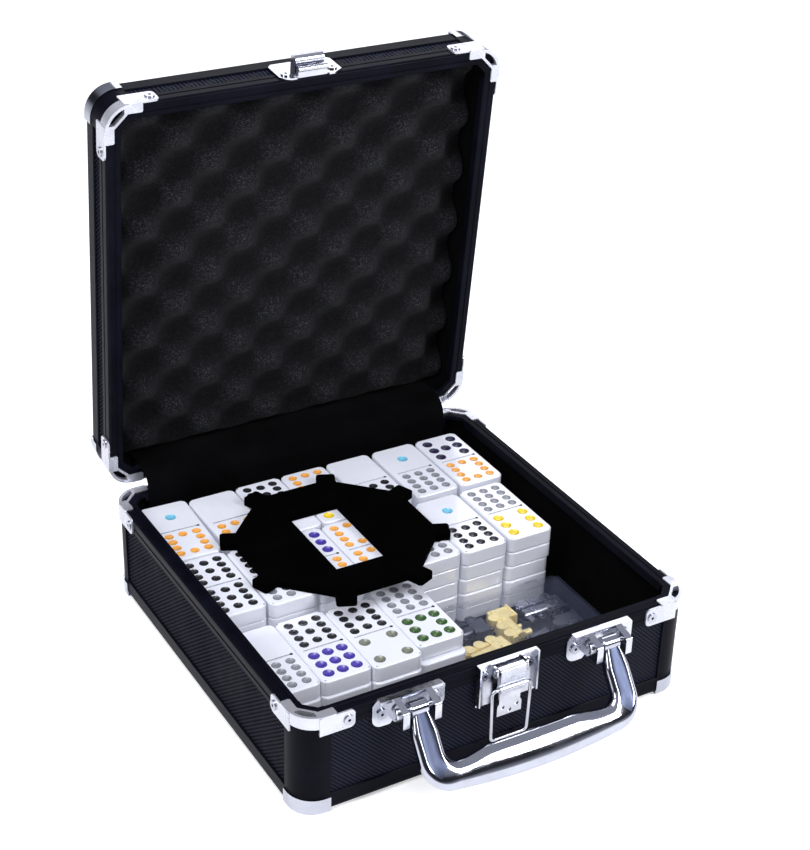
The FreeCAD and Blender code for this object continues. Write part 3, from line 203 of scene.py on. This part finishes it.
def m_laminate(name, kind):
    """Embossed laminate. kind 'diamond': small raised diamonds; 'rib': fine slanted ribs."""
    M = Mat(name, (0.012, 0.012, 0.014), 0.42, Specular_IOR_Level=0.045 if kind == "diamond" else 0.008)
    s = sep(M, M.coords())
    v = s["Z"]
    p = 2 * math.pi / 0.00213
    if kind == "diamond":       # front and back: main ribs fall to the right at 45 degrees, crossed by shallower ones
        u = s["X"]
        a = M.math("SINE", M.math("MULTIPLY", M.math("ADD", v, u), p))
        b = M.math("SINE", M.math("MULTIPLY", M.math("SUBTRACT", v, M.math("MULTIPLY", u, 1.2)), p))
    else:                       # left and right walls: the same press, ribs rising to the front
        u = s["Y"]
        a = M.math("SINE", M.math("MULTIPLY", M.math("ADD", v, M.math("MULTIPLY", u, 0.82)), p))
        b = M.math("SINE", M.math("MULTIPLY", M.math("SUBTRACT", v, M.math("MULTIPLY", u, 1.2)), p))
    h = M.math("ADD", M.math("MULTIPLY", a, 0.68 if kind == "diamond" else 0.85), M.math("MULTIPLY", b, 0.42 if kind == "diamond" else 0.2))
    wear = M.noise(55, 4, 0.6)
    top = M.mix(M.ramp(wear, 0.4, 0.75), (0.0125, 0.0155, 0.0350), (0.0185, 0.0225, 0.0450)) if kind == "diamond" else M.mix(M.ramp(wear, 0.4, 0.75), (0.0092, 0.0098, 0.0215), (0.0135, 0.0145, 0.0290))
    # painted shade: the grooves are coloured near black and the rib tops lighter, standing in for the shade between the
    # ribs; the wear noise varies the tops
    M.color(M.mix(M.ramp(h, -0.35, 0.80), (0.0006, 0.0007, 0.0015), top))
    M.rough(M.math("ADD", M.ramp(wear, 0.3, 0.7, 0.32, 0.50), M.ramp(h, -1, 1, 0.12, 0.0)))
    M.normal(M.bump(M.ramp(h, -1, 1), 0.9, 0.00035, M.bump(M.noise(900, 2), 0.12, 0.0002)))
    return M.m


def m_black_alu(name, base=(0.030, 0.030, 0.034), rough=0.34, along="X"):
    M = Mat(name, base, rough, 0.0, Specular_IOR_Level=0.03)
    st = {"X": (0.02, 1, 1), "Y": (1, 0.02, 1), "Z": (1, 1, 0.02)}[along]
    lines = M.noise(5200, 2, 0.6, stretch=st)
    wear = M.noise(40, 4, 0.65)
    dark = tuple(c * 0.75 for c in base)
    lite = tuple(c * 1.45 for c in base)
    M.color(M.mix(M.ramp(wear, 0.35, 0.7), dark, lite))
    M.rough(M.math("ADD", M.ramp(lines, 0.3, 0.7, rough - 0.07, rough + 0.08), M.ramp(wear, 0.4, 0.8, 0, 0.06)))
    M.normal(M.bump(lines, 0.12, 0.00006))
    return M.m


def m_chrome(name="bright_plate", base=(0.43, 0.44, 0.50), rough=0.10, metal=1.0):
    M = Mat(name, base, rough, metal)
    smear = M.noise(70, 4, 0.65)
    scr = M.noise(260, 2, 0.6, stretch=(0.15, 1, 0.4), rot=(0.3, 0.5, 0.7))
    dent = M.noise(90, 2, 0.5)
    M.color(M.mix(M.ramp(smear, 0.35, 0.75), base, tuple(c * 0.84 for c in base)))
    M.rough(M.math("ADD", M.ramp(smear, 0.35, 0.75, rough * 0.6, rough * 1.8), M.ramp(scr, 0.55, 0.8, 0, 0.08)))
    M.normal(M.bump(dent, 0.05, 0.0004))
    return M.m


# flat faces of the handle's arms: the dark blue colour is a painted dark reflection of the surroundings in the bright
# bar
def m_arm():
    M = Mat("bar_face_painted_reflection", (0.09, 0.10, 0.155), 0.34, 0.9)
    lines = M.noise(1500, 2, 0.6, stretch=(1, 0.05, 0.05))
    wear = M.noise(60, 3, 0.6)
    M.color(M.mix(M.ramp(wear, 0.3, 0.75), (0.034, 0.041, 0.072), (0.066, 0.077, 0.122)))
    M.rough(M.math("ADD", M.ramp(lines, 0.3, 0.7, 0.24, 0.34), M.ramp(wear, 0.3, 0.7, 0.0, 0.06)))
    M.normal(M.bump(lines, 0.05, 0.00006))
    return M.m


def m_tile():
    # the faint bluish-white emission is a painted glow that lightens the tiles as if more light fell on them
    M = Mat("tile_resin_painted_glow", (0.80, 0.81, 0.86), 0.16, Coat_Weight=0.25, Coat_Roughness=0.05, Subsurface_Weight=0.12, Subsurface_Scale=0.004, Emission_Color=(0.93, 0.95, 1.0, 1.0), Emission_Strength=0.06)
    M.set("Subsurface Radius", (1.0, 0.95, 0.9))
    mott = M.noise(45, 4, 0.6)
    scuff = M.noise(700, 3, 0.6, stretch=(1, 0.25, 1))
    M.color(M.mix(M.ramp(mott, 0.3, 0.75), (0.63, 0.645, 0.72), (0.69, 0.705, 0.785)))
    M.rough(M.math("ADD", M.ramp(mott, 0.3, 0.7, 0.10, 0.22), M.ramp(scuff, 0.55, 0.8, 0, 0.12)))
    M.normal(M.bump(mott, 0.05, 0.0006, M.bump(scuff, 0.03, 0.0001)))
    return M.m


def m_paint(name, col):
    M = Mat("pip_" + name, col, 0.28, Coat_Weight=0.7, Coat_Roughness=0.06)
    g = M.noise(900, 3, 0.6)
    M.color(M.mix(M.ramp(g, 0.3, 0.75), tuple(c * 0.75 for c in col), tuple(min(1.0, c * 1.2 + 0.01) for c in col)))
    M.rough(M.ramp(g, 0.3, 0.7, 0.2, 0.42))
    M.normal(M.bump(g, 0.10, 0.00015))
    return M.m


def m_clear():
    M = Mat("clear_styrene", (0.30, 0.34, 0.42), 0.06, Alpha=0.055, Specular_IOR_Level=0.5, Coat_Weight=0.3, Coat_Roughness=0.04)
    sm = M.noise(60, 4, 0.6)
    M.color(M.mix(M.ramp(sm, 0.3, 0.7), (0.13, 0.15, 0.26), (0.22, 0.25, 0.37)))
    M.rough(M.ramp(sm, 0.35, 0.75, 0.03, 0.16))
    M.normal(M.bump(sm, 0.08, 0.0008))
    return M.m


def m_cast(name, base, rough, metal=0.65):
    M = Mat(name, base, rough, metal)
    g = M.noise(420, 4, 0.65)
    M.color(M.mix(M.ramp(g, 0.3, 0.7), tuple(c * 0.7 for c in base), base))
    M.rough(M.ramp(g, 0.3, 0.7, rough * 0.7, rough * 1.6))
    M.normal(M.bump(g, 0.2, 0.0003))
    return M.m


VELVET, FLOCK, FOAM = m_velvet(), m_flock(), m_foam()
LAM_D, LAM_R = m_laminate("laminate_diamond", "diamond"), m_laminate("laminate_rib", "rib")
ALU_X = m_black_alu("rail_black_x", base=(0.0030, 0.0033, 0.0066), along="X")
ALU_Y = m_black_alu("rail_black_y", base=(0.0030, 0.0033, 0.0066), along="Y")
ALU_Z = m_black_alu("post_black", base=(0.0028, 0.0030, 0.0058), rough=0.36, along="Z")
CHROME = m_chrome()
RIM = m_chrome("bright_rim", (0.56, 0.57, 0.63), 0.24, 0.62)
NICKEL = m_chrome("bright_pressing", (0.52, 0.53, 0.585), 0.17)
STEEL = m_chrome("zinc_steel", (0.42, 0.43, 0.45), 0.24)
TILE = m_tile()
CLEAR = m_clear()
HANDLE = m_chrome("bright_bar", (0.44, 0.455, 0.52), 0.08)
ARM = m_arm()
GOLD = m_cast("cast_gold", (1.0, 0.83, 0.40), 0.34, 0.3)
SILVER = m_cast("cast_silver", (0.36, 0.37, 0.44), 0.2, 0.95)
DARK = m_cast("cast_dark", (0.07, 0.075, 0.10), 0.3)
PAINT = {
    "light_blue": m_paint("light_blue", (0.16, 0.48, 0.66)),
    "grey_olive": m_paint("grey_olive", (0.16, 0.17, 0.13)),
    "yellow": m_paint("yellow", (0.78, 0.56, 0.03)),
    "violet_black": m_paint("violet_black", (0.02, 0.015, 0.05)),
    "green": m_paint("green", (0.035, 0.09, 0.02)),
    "violet": m_paint("violet", (0.055, 0.035, 0.30)),
    "orange": m_paint("orange", (0.80, 0.36, 0.07)),
    "black": m_paint("black", (0.012, 0.012, 0.015)),
    "grey": m_paint("grey", (0.22, 0.23, 0.26)),
    "red": m_paint("red", (0.5, 0.03, 0.03)),
    # the divider groove is unpainted: its grey is painted shade in the groove
    "divider_groove_shade": m_paint("divider_groove_shade", (0.40, 0.41, 0.47)),
    "dot": m_paint("dot", (0.012, 0.012, 0.016)),
}


def assign(name, mat):
    o = N[name]
    if not o.data.materials:
        o.data.materials.append(mat)
    for i in range(len(o.data.materials)):
        o.data.materials[i] = mat


def smooth(o, deg=32):
    with bpy.context.temp_override(object=o, active_object=o, selected_objects=[o], selected_editable_objects=[o]):
        bpy.ops.object.shade_smooth_by_angle(angle=math.radians(deg))


for name, o in N.items():
    if "lining" in name or name == "hinge_cover_strip":
        m = VELVET
    elif "foam" in name:
        m = FOAM
    elif name in ("base_left_panel", "base_right_panel", "lid_left_panel", "lid_right_panel"):
        m = LAM_R
    elif name.endswith("_panel"):
        m = LAM_D
    elif name.endswith("rails_sides"):
        m = ALU_Y
    elif "rails" in name:
        m = ALU_X
    elif "posts" in name:
        m = ALU_Z
    elif name.startswith("hinge"):
        m = STEEL
    elif name.startswith("domino"):
        m = TILE
    elif name == "hub":
        m = FLOCK
    elif name.startswith("marker_box"):
        m = CLEAR
    elif name == "train_markers_gold":
        m = GOLD
    elif name == "train_markers_silver":
        m = SILVER
    elif name == "train_markers_dark":
        m = DARK
    elif "rim_corners" in name:
        m = RIM
    elif "bracket" in name or "latch" in name or name == "lid_catch" or "handle_" in name:
        m = NICKEL
    else:
        m = CHROME
    assign(name, m)
    bpy.context.view_layer.objects.active = o
    smooth(o)

# ------------------------------------------------------------------ painted spots: faces of the dimples take the paint
COLOUR_OF = {1: "light_blue", 2: "green", 3: "red", 4: "grey_olive", 5: "green", 6: "yellow", 7: "violet_black", 8: "green", 9: "violet", 10: "orange", 11: "black", 12: "grey"}
TT, TZ = 8.1, 5.0
ROWS = {
    "dominoes_back_row_top": (5, [(-80.3, 65.4, -2.4, 1, 10), (-54.2, 62.9, 0, 0, 10), (-28.9, 63.0, 0, 11, 0), (-3.6, 62.8, 0, 10, 6), (22.2, 62.9, 0, 0, 11), (48.6, 62.3, 0, 1, 12), (74.4, 61.8, 0, 7, 10)]),
    "dominoes_middle_row_top": (5, [(-82.2, 14.4, -0.6, 11, 11), (-56.9, 12.6, 0, 11, 12), (-32.0, 12.3, 0, 9, 10), (-6.9, 12.0, 0, 10, 10), (18.2, 9.8, 0, 2, 12), (43.3, 8.5, 0, 1, 11)]),
    "dominoes_front_row_top": (4, [(-82.4, -38.8, 0, 0, 12), (-57.6, -39.6, 0, 11, 9), (-32.8, -41.2, 0, 11, 4), (-8.0, -36.5, 0, 12, 8)]),
    "domino_twelve_six": (5, [(68.8, 7.9, 0, 12, 6)]),
}
for name, (layers, tiles) in ROWS.items():
    o = N[name]
    me = o.data
    slots = {}
    top = TZ + layers * TT + (0.3 if name == "domino_twelve_six" else 0.0)

    def slot_of(key):
        if key not in slots:
            me.materials.append(PAINT[key])
            slots[key] = len(me.materials) - 1
        return slots[key]

    idx = [0] * len(me.polygons)
    co = [v.co for v in me.vertices]
    for p in me.polygons:
        zs = [co[i].z for i in p.vertices]
        if max(zs) > (top + 0.02) * MM or min(zs) < (top - 1.0) * MM:
            continue
        if p.normal.z > 0.9999 and min(zs) > (top - 0.02) * MM:
            continue
        c = p.center / MM
        for x, y, turn, a, b in tiles:
            dx, dy = c.x - x, c.y - y
            t = math.radians(-turn)
            u, v = dx * math.cos(t) - dy * math.sin(t), dx * math.sin(t) + dy * math.cos(t)
            if abs(u) > 11.2 or abs(v) > 23.7:
                continue
            # faces of the divider groove take the painted-shade grey; the dot at its right end takes dark paint
            if abs(v) < 0.8 and abs(u) < 10.6:
                idx[p.index] = slot_of("dot" if u > 8.86 else "divider_groove_shade")
            else:
                k = a if v > 0 else b
                if k:
                    idx[p.index] = slot_of(COLOUR_OF[k])
            break
    me.polygons.foreach_set("material_index", idx)
    me.update()

# ------------------------------------------------------------------ helpers for new pieces
def mesh_object(name, verts, faces, mats, body=None, sm=True, deg=40):
    me = bpy.data.meshes.new(name)
    me.from_pydata([tuple(v) for v in verts], [], faces)
    me.validate()
    o = bpy.data.objects.new(name, me)
    bpy.context.scene.collection.objects.link(o)
    for m in mats:
        me.materials.append(m)
    if sm:
        bpy.context.view_layer.objects.active = o
        smooth(o, deg)
    if body:
        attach(o, body)
    return o


TH = math.radians(83.96)
LID = Matrix.Translation(V(0, 103, 52.5)) @ Matrix.Rotation(-TH, 4, "X") @ Matrix.Translation(-V(0, 103, 52.5))     # shut place to open place
LOCAL = LID @ Matrix.Translation(V(0, 0, 77.5)) @ Matrix.Rotation(math.pi, 4, "X")                                     # lid's own frame, its top at z = 0


# convoluted foam: two crossed waves make staggered bumps; its edge is cut straight and turned down a little
def build_foam():
    fx, fy = 94.6, 95.1
    n = 200
    verts, faces = [], []
    px, py, x0, y0 = 17.05, 14.75, -9.3, 1.2

    def top(x, y):
        f = math.cos(math.pi * (x - x0) / px) * math.cos(math.pi * (y - y0) / py)
        f = math.copysign(abs(f) ** 0.86, f)
        w = noise.noise(Vector((x * 0.045, y * 0.045, 3.1)))
        h = 9.4 + 4.1 * f * (1 + 0.05 * w) + 0.1 * w
        e = min(fx - abs(x), fy - abs(y))
        return h - 1.2 * math.exp(-max(e, 0) / 1.2)

    for j in range(n + 1):
        for i in range(n + 1):
            x = -fx + 2 * fx * i / n
            y = -fy + 2 * fy * j / n
            # rounded corners in plan
            r = 9.0
            cx, cyy = fx - r, fy - r
            if abs(x) > cx and abs(y) > cyy:
                dx, dy = abs(x) - cx, abs(y) - cyy
                m = max(dx, dy)
                d = math.hypot(dx, dy)
                if d > 0:
                    k = m / d
                    x = math.copysign(cx + dx * k, x)
                    y = math.copysign(cyy + dy * k, y)
            verts.append((x, y, top(x, y)))
    for j in range(n):
        for i in range(n):
            a = j * (n + 1) + i
            faces.append((a, a + 1, a + n + 2, a + n + 1))
    # skirt and underside
    rim = [i for i in range(n + 1)] + [j * (n + 1) + n for j in range(1, n + 1)] + [n * (n + 1) + i for i in range(n - 1, -1, -1)] + [j * (n + 1) for j in range(n - 1, 0, -1)]
    base = len(verts)
    for k in rim:
        x, y, z = verts[k]
        verts.append((x, y, 4.3))
    m = len(rim)
    for k in range(m):
        a, b = rim[k], rim[(k + 1) % m]
        faces.append((b, a, base + k, base + (k + 1) % m))
    faces.append(tuple(base + k for k in range(m - 1, -1, -1)))
    pts = [LOCAL @ V(*p) for p in verts]
    o = mesh_object("lid_foam_sheet", pts, faces, [FOAM], "lid", deg=60)
    # the height attribute drives the foam's painted light on the bumps and painted shade in the hollows
    at = o.data.attributes.new("height", "FLOAT", "POINT")
    at.data.foreach_set("value", [min(1.0, max(0.0, (v[2] - 5.3) / 8.0)) for v in verts])
    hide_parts("egg_crate_foam")
    return o


build_foam()


# velvet strip over the hinge gap: hem on the base's back wall, round the hinge axis, over the lid's rim, under the foam's edge
def build_strip():
    hy, hz = 103.0, 52.5
    prof = []       # (y, z) from the base to the lid, front face
    for z in (36.0, 40.0, 44.0, 48.0, 50.5):
        prof.append((92.9, z))
    r = 10.2
    a0, a1 = math.radians(183), math.radians(94)
    for k in range(13):
        a = a0 + (a1 - a0) * k / 12
        prof.append((hy + r * math.cos(a), hz + r * math.sin(a)))
    for y, z in ((104.6, 62.95), (107.0, 62.9), (110.0, 62.75), (113.0, 62.6), (115.5, 62.5)):
        prof.append((y, z))
    t = 0.7
    nx = 120
    verts, faces = [], []
    length = 0.0
    L = [0.0]
    for (a, b), (c, d) in zip(prof, prof[1:]):
        length += math.hypot(c - a, d - b)
        L.append(length)
    m = len(prof)
    normals = []
    for k in range(m):
        a, b = prof[max(k - 1, 0)], prof[min(k + 1, m - 1)]
        ty, tz = b[0] - a[0], b[1] - a[1]
        q = math.hypot(ty, tz)
        normals.append((-tz / q, ty / q))
    for side in (0, 1):
        for k in range(m):
            for i in range(nx + 1):
                x = -84 + 168 * i / nx
                w = 0.35 * noise.noise(Vector((x * 0.035, L[k] * 0.09, 1.7))) * math.sin(math.pi * min(1, max(0, (L[k] - 8) / 24)))
                off = w - (t if side else 0)
                verts.append(V(x, prof[k][0] + normals[k][0] * off, prof[k][1] + normals[k][1] * off))
    row = nx + 1
    for k in range(m - 1):
        for i in range(nx):
            a = k * row + i
            faces.append((a, a + 1, a + row + 1, a + row))
            b = a + m * row
            faces.append((b, b + row, b + row + 1, b + 1))
    for i in range(nx):
        a, b = i, m * row + i
        faces.append((a, b, b + 1, a + 1))
        a, b = (m - 1) * row + i, m * row + (m - 1) * row + i
        faces.append((a, a + 1, b + 1, b))
    for k in range(m - 1):
        a, b = k * row, m * row + k * row
        faces.append((a, a + row, b + row, b))
        a, b = k * row + nx, m * row + k * row + nx
        faces.append((a, b, b + row, a + row))
    o = mesh_object("hinge_velvet_strip", verts, faces, [VELVET], deg=50)
    bm = bmesh.new()
    bm.from_mesh(o.data)
    bmesh.ops.recalc_face_normals(bm, faces=bm.faces)
    bm.to_mesh(o.data)
    bm.free()
    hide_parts("hinge_cover_strip")
    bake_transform(o)
    return length


STRIP_LEN = build_strip()

# handle: one bright bar bent to a U, flat on its arms and round on its grip, rolled round the pins at both ends
def build_handle():
    ln, bend = 31.8, math.radians(36.8)
    stations = []           # (inner point, outer point, roundness)

    def line(i0, o0, i1, o1, n, g0, g1):
        for k in range(n):
            t = k / n
            stations.append(((i0[0] + (i1[0] - i0[0]) * t, i0[1] + (i1[1] - i0[1]) * t), (o0[0] + (o1[0] - o0[0]) * t, o0[1] + (o1[1] - o0[1]) * t), g0 + (g1 - g0) * t))

    line((-45.0, 1.5), (-53.0, 1.5), (-44.0, 6.0), (-54.0, 6.0), 3, 0, 0)
    line((-44.0, 6.0), (-54.0, 6.0), (-43.0, 11.0), (-55.0, 11.0), 4, 0, 0)
    line((-43.0, 11.0), (-55.0, 11.0), (-43.0, ln - 11.5), (-55.0, ln - 8.0), 8, 0, 0.1)
    for k in range(14):
        a = math.radians(180 - 90 * k / 14)
        g = 0.1 + 0.9 * (0.5 - 0.5 * math.cos(math.pi * min(1, k / 13)))
        stations.append(((-37.5 + 5.5 * math.cos(a), ln - 11.5 + 5.5 * math.sin(a)), (-41.0 + 14 * math.cos(a), ln - 8.0 + 14 * math.sin(a)), g))
    half_n = 22
    for k in range(half_n + 1):
        t = k / half_n
        xo = -41.0 * (1 - t)
        xi = -37.5 * (1 - t)
        rise = 2.3 * (0.5 - 0.5 * math.cos(math.pi * min(1, max(0, (37.5 - abs(xi)) / 17.0))))
        bow = 2.6 * (1 - (xo / 41.0) ** 2)
        stations.append(((xi, ln - 6.0 - rise + bow * 0.25), (xo, ln + 6.0 + bow), 1.0))
    st = stations + [((-i[0], i[1]), (-o[0], o[1]), g) for i, o, g in reversed(stations[:-1])]
    flat = [(0, 0), (0.0, 0.9), (0.25, 1.75), (0.8, 2.4), (1.5, 2.8), (2.2, 2.92), (2.8, 2.72), (3.3, 2.62), (4.6, 2.6)]
    full = [(0, 0), (0.08, 0.9), (0.4, 1.75), (0.95, 2.4), (1.6, 2.85), (2.4, 3.25), (3.2, 3.52), (4.1, 3.75), (5.0, 3.88)]
    back = [(0.0, -0.9), (0.25, -1.8), (0.9, -2.6), (2.0, -3.0), (4.0, -3.0)]

    def ring(g, w):
        out = []
        for (a, z), (b, q) in zip(flat, full):
            out.append(((a + (b - a) * g) / 12.0, z + (q - z) * g))
        top = out + [(0.5, 2.6 + (3.92 - 2.6) * g)] + [(1 - a, z) for a, z in reversed(out)]
        low = [(a / 12.0, z) for a, z in back]
        return top + [(1 - a, z) for a, z in low] + [(a, z) for a, z in reversed(low)]

    M4 = Matrix.Translation(V(0, -108.0, 47.0)) @ Matrix(((1, 0, 0, 0), (0, -math.sin(bend), math.cos(bend), 0), (0, -math.cos(bend), -math.sin(bend), 0), (0, 0, 0, 1)))
    verts, faces = [], []
    m = None
    for i, o, g in st:
        r = ring(g, 12)
        m = len(r)
        for f, z in r:
            verts.append((i[0] + (o[0] - i[0]) * f, i[1] + (o[1] - i[1]) * f, -z))
    arm_faces = set()
    for k in range(len(st) - 1):
        for q in range(m):
            a, b = k * m + q, k * m + (q + 1) % m
            if 6 <= q <= 11 and max(st[k][2], st[k + 1][2]) < 0.62:
                arm_faces.add(len(faces))
            faces.append((a, b, b + m, a + m))
    faces.append(tuple(range(m - 1, -1, -1)))
    faces.append(tuple((len(st) - 1) * m + q for q in range(m)))
    # rolled eyes
    seg = 40
    for sx in (-49.0, 49.0):
        base = len(verts)
        prof = [(-4.2, 1.42), (-4.2, 3.2), (-3.8, 3.6), (3.8, 3.6), (4.2, 3.2), (4.2, 1.42)]
        for k in range(seg):
            a = 2 * math.pi * k / seg
            for dx, r in prof:
                verts.append((sx + dx, r * math.cos(a), r * math.sin(a)))
        np_ = len(prof)
        for k in range(seg):
            for q in range(np_):
                a, b = base + k * np_ + q, base + k * np_ + (q + 1) % np_
                c, d = base + ((k + 1) % seg) * np_ + (q + 1) % np_, base + ((k + 1) % seg) * np_ + q
                faces.append((a, b, c, d))
    o = mesh_object("handle_bar", [M4 @ V(*v) for v in verts], faces, [HANDLE, ARM], deg=38)
    # the arms' flat faces take the painted dark reflection
    o.data.polygons.foreach_set("material_index", [1 if q in arm_faces else 0 for q in range(len(o.data.polygons))])
    bm = bmesh.new()
    bm.from_mesh(o.data)
    bmesh.ops.recalc_face_normals(bm, faces=bm.faces)
    bm.to_mesh(o.data)
    bm.free()
    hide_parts("handle_bail")
    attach(o, "handle")
    return o


build_handle()

# bright pressings have soft edges
for name in ("handle_bracket_left", "handle_bracket_right", "latch_base_plate", "latch_lever", "lid_catch", "base_rim_corners", "lid_rim_corners", "handle_pins",
             "base_hollow_rivets", "lid_hollow_rivets", "handle_rivets", "base_bottom_corner_caps", "lid_top_corner_caps"):
    o = N[name]
    md = o.modifiers.new("soft_edges", "BEVEL")
    md.width = (0.16 if "rivets" in name or "pins" in name else 0.28) * MM
    md.segments = 2
    md.limit_method = "ANGLE"
    md.angle_limit = math.radians(40)
    md.use_clamp_overlap = True

# ------------------------------------------------------------------ floor, light, camera
def area(name, loc, target, size, power, size_y=None, color=(1, 1, 1)):
    d = bpy.data.lights.new(name, "AREA")
    d.energy = power
    d.color = color
    d.shape = "RECTANGLE"
    d.size = size
    d.size_y = size_y or size
    o = bpy.data.objects.new(name, d)
    bpy.context.scene.collection.objects.link(o)
    o.location = loc
    o.rotation_mode = "QUATERNION"
    o.rotation_quaternion = (Vector(target) - Vector(loc)).to_track_quat("-Z", "Y")
    return o


sc = bpy.context.scene
world = bpy.data.worlds.new("studio")
sc.world = world
world.use_nodes = True
wt = world.node_tree
bg = wt.nodes["Background"]
wc = wt.nodes.new("ShaderNodeTexCoord")
ws = wt.nodes.new("ShaderNodeSeparateXYZ")
wt.links.new(wc.outputs["Generated"], ws.inputs[0])
wr = wt.nodes.new("ShaderNodeValToRGB")
wt.links.new(ws.outputs["Z"], wr.inputs["Fac"])
cr = wr.color_ramp
cr.elements[0].position, cr.elements[0].color = 0.0, (0.75, 0.76, 0.80, 1)
cr.elements[1].position, cr.elements[1].color = 1.0, (0.55, 0.57, 0.62, 1)
for pos, g in ((0.10, 0.35), (0.22, 0.05), (0.46, 0.04), (0.60, 0.42), (0.75, 0.50)):
    e = cr.elements.new(pos)
    e.color = (g * 0.93, g * 0.96, g * 1.12, 1)
wt.links.new(wr.outputs["Color"], bg.inputs["Color"])
bg.inputs["Strength"].default_value = 0.9
area("key_top", (-0.30, -0.10, 1.30), (0, 0, 0.05), 0.8, 11.5, 0.8, (0.97, 0.98, 1.0))
area("side_left", (-1.05, -0.35, 0.75), (0, 0, 0.08), 0.35, 7, 0.7, (0.97, 0.98, 1.0))
area("front_right", (0.75, -1.15, 0.95), (0, 0, 0.06), 0.30, 15, 0.6, (0.97, 0.98, 1.0))
area("back_right", (0.80, 1.30, 1.15), (0, 0, 0.06), 0.9, 5, 0.7, (0.97, 0.98, 1.0))

floor_m = Mat("floor_white", (0.9, 0.9, 0.9), 0.6, Emission_Color=(1, 1, 1, 1), Emission_Strength=0.45)
fn = floor_m.noise(3, 2)
floor_m.color(floor_m.mix(floor_m.ramp(fn, 0.3, 0.7), (0.88, 0.88, 0.885), (0.91, 0.91, 0.915)))
bpy.ops.mesh.primitive_plane_add(size=8, location=(0, 0, -0.0002))
floor = bpy.context.active_object
floor.name = "floor"
floor.data.materials.append(floor_m.m)

cam = bpy.data.cameras.new("cam")
co = bpy.data.objects.new("cam", cam)
sc.collection.objects.link(co)
sc.camera = co
cam.sensor_fit = "AUTO"
cam.sensor_width = 36
F, CX, CY, W, H = 1829.633, 406.5376, 427.2599, 810, 850
cam.lens = F * 36 / 850
cam.shift_x = -(CX - W / 2) / 850
cam.shift_y = (CY - H / 2) / 850
rv = Vector((2.03824932, -0.52652997, 0.34608527))
R = Matrix.Rotation(rv.length, 3, rv.normalized())
T = Vector((-8.42582197, 99.52145109, 890.19159076)) * MM
C = -(R.transposed() @ T)
rot = R.transposed() @ Matrix(((1, 0, 0), (0, -1, 0), (0, 0, -1)))
co.matrix_world = Matrix.Translation(C) @ rot.to_4x4()
cam.clip_start, cam.clip_end = 0.01, 20

sc.view_settings.view_transform = "Standard"
sc.view_settings.look = "None"
sc.view_settings.exposure = 0.0
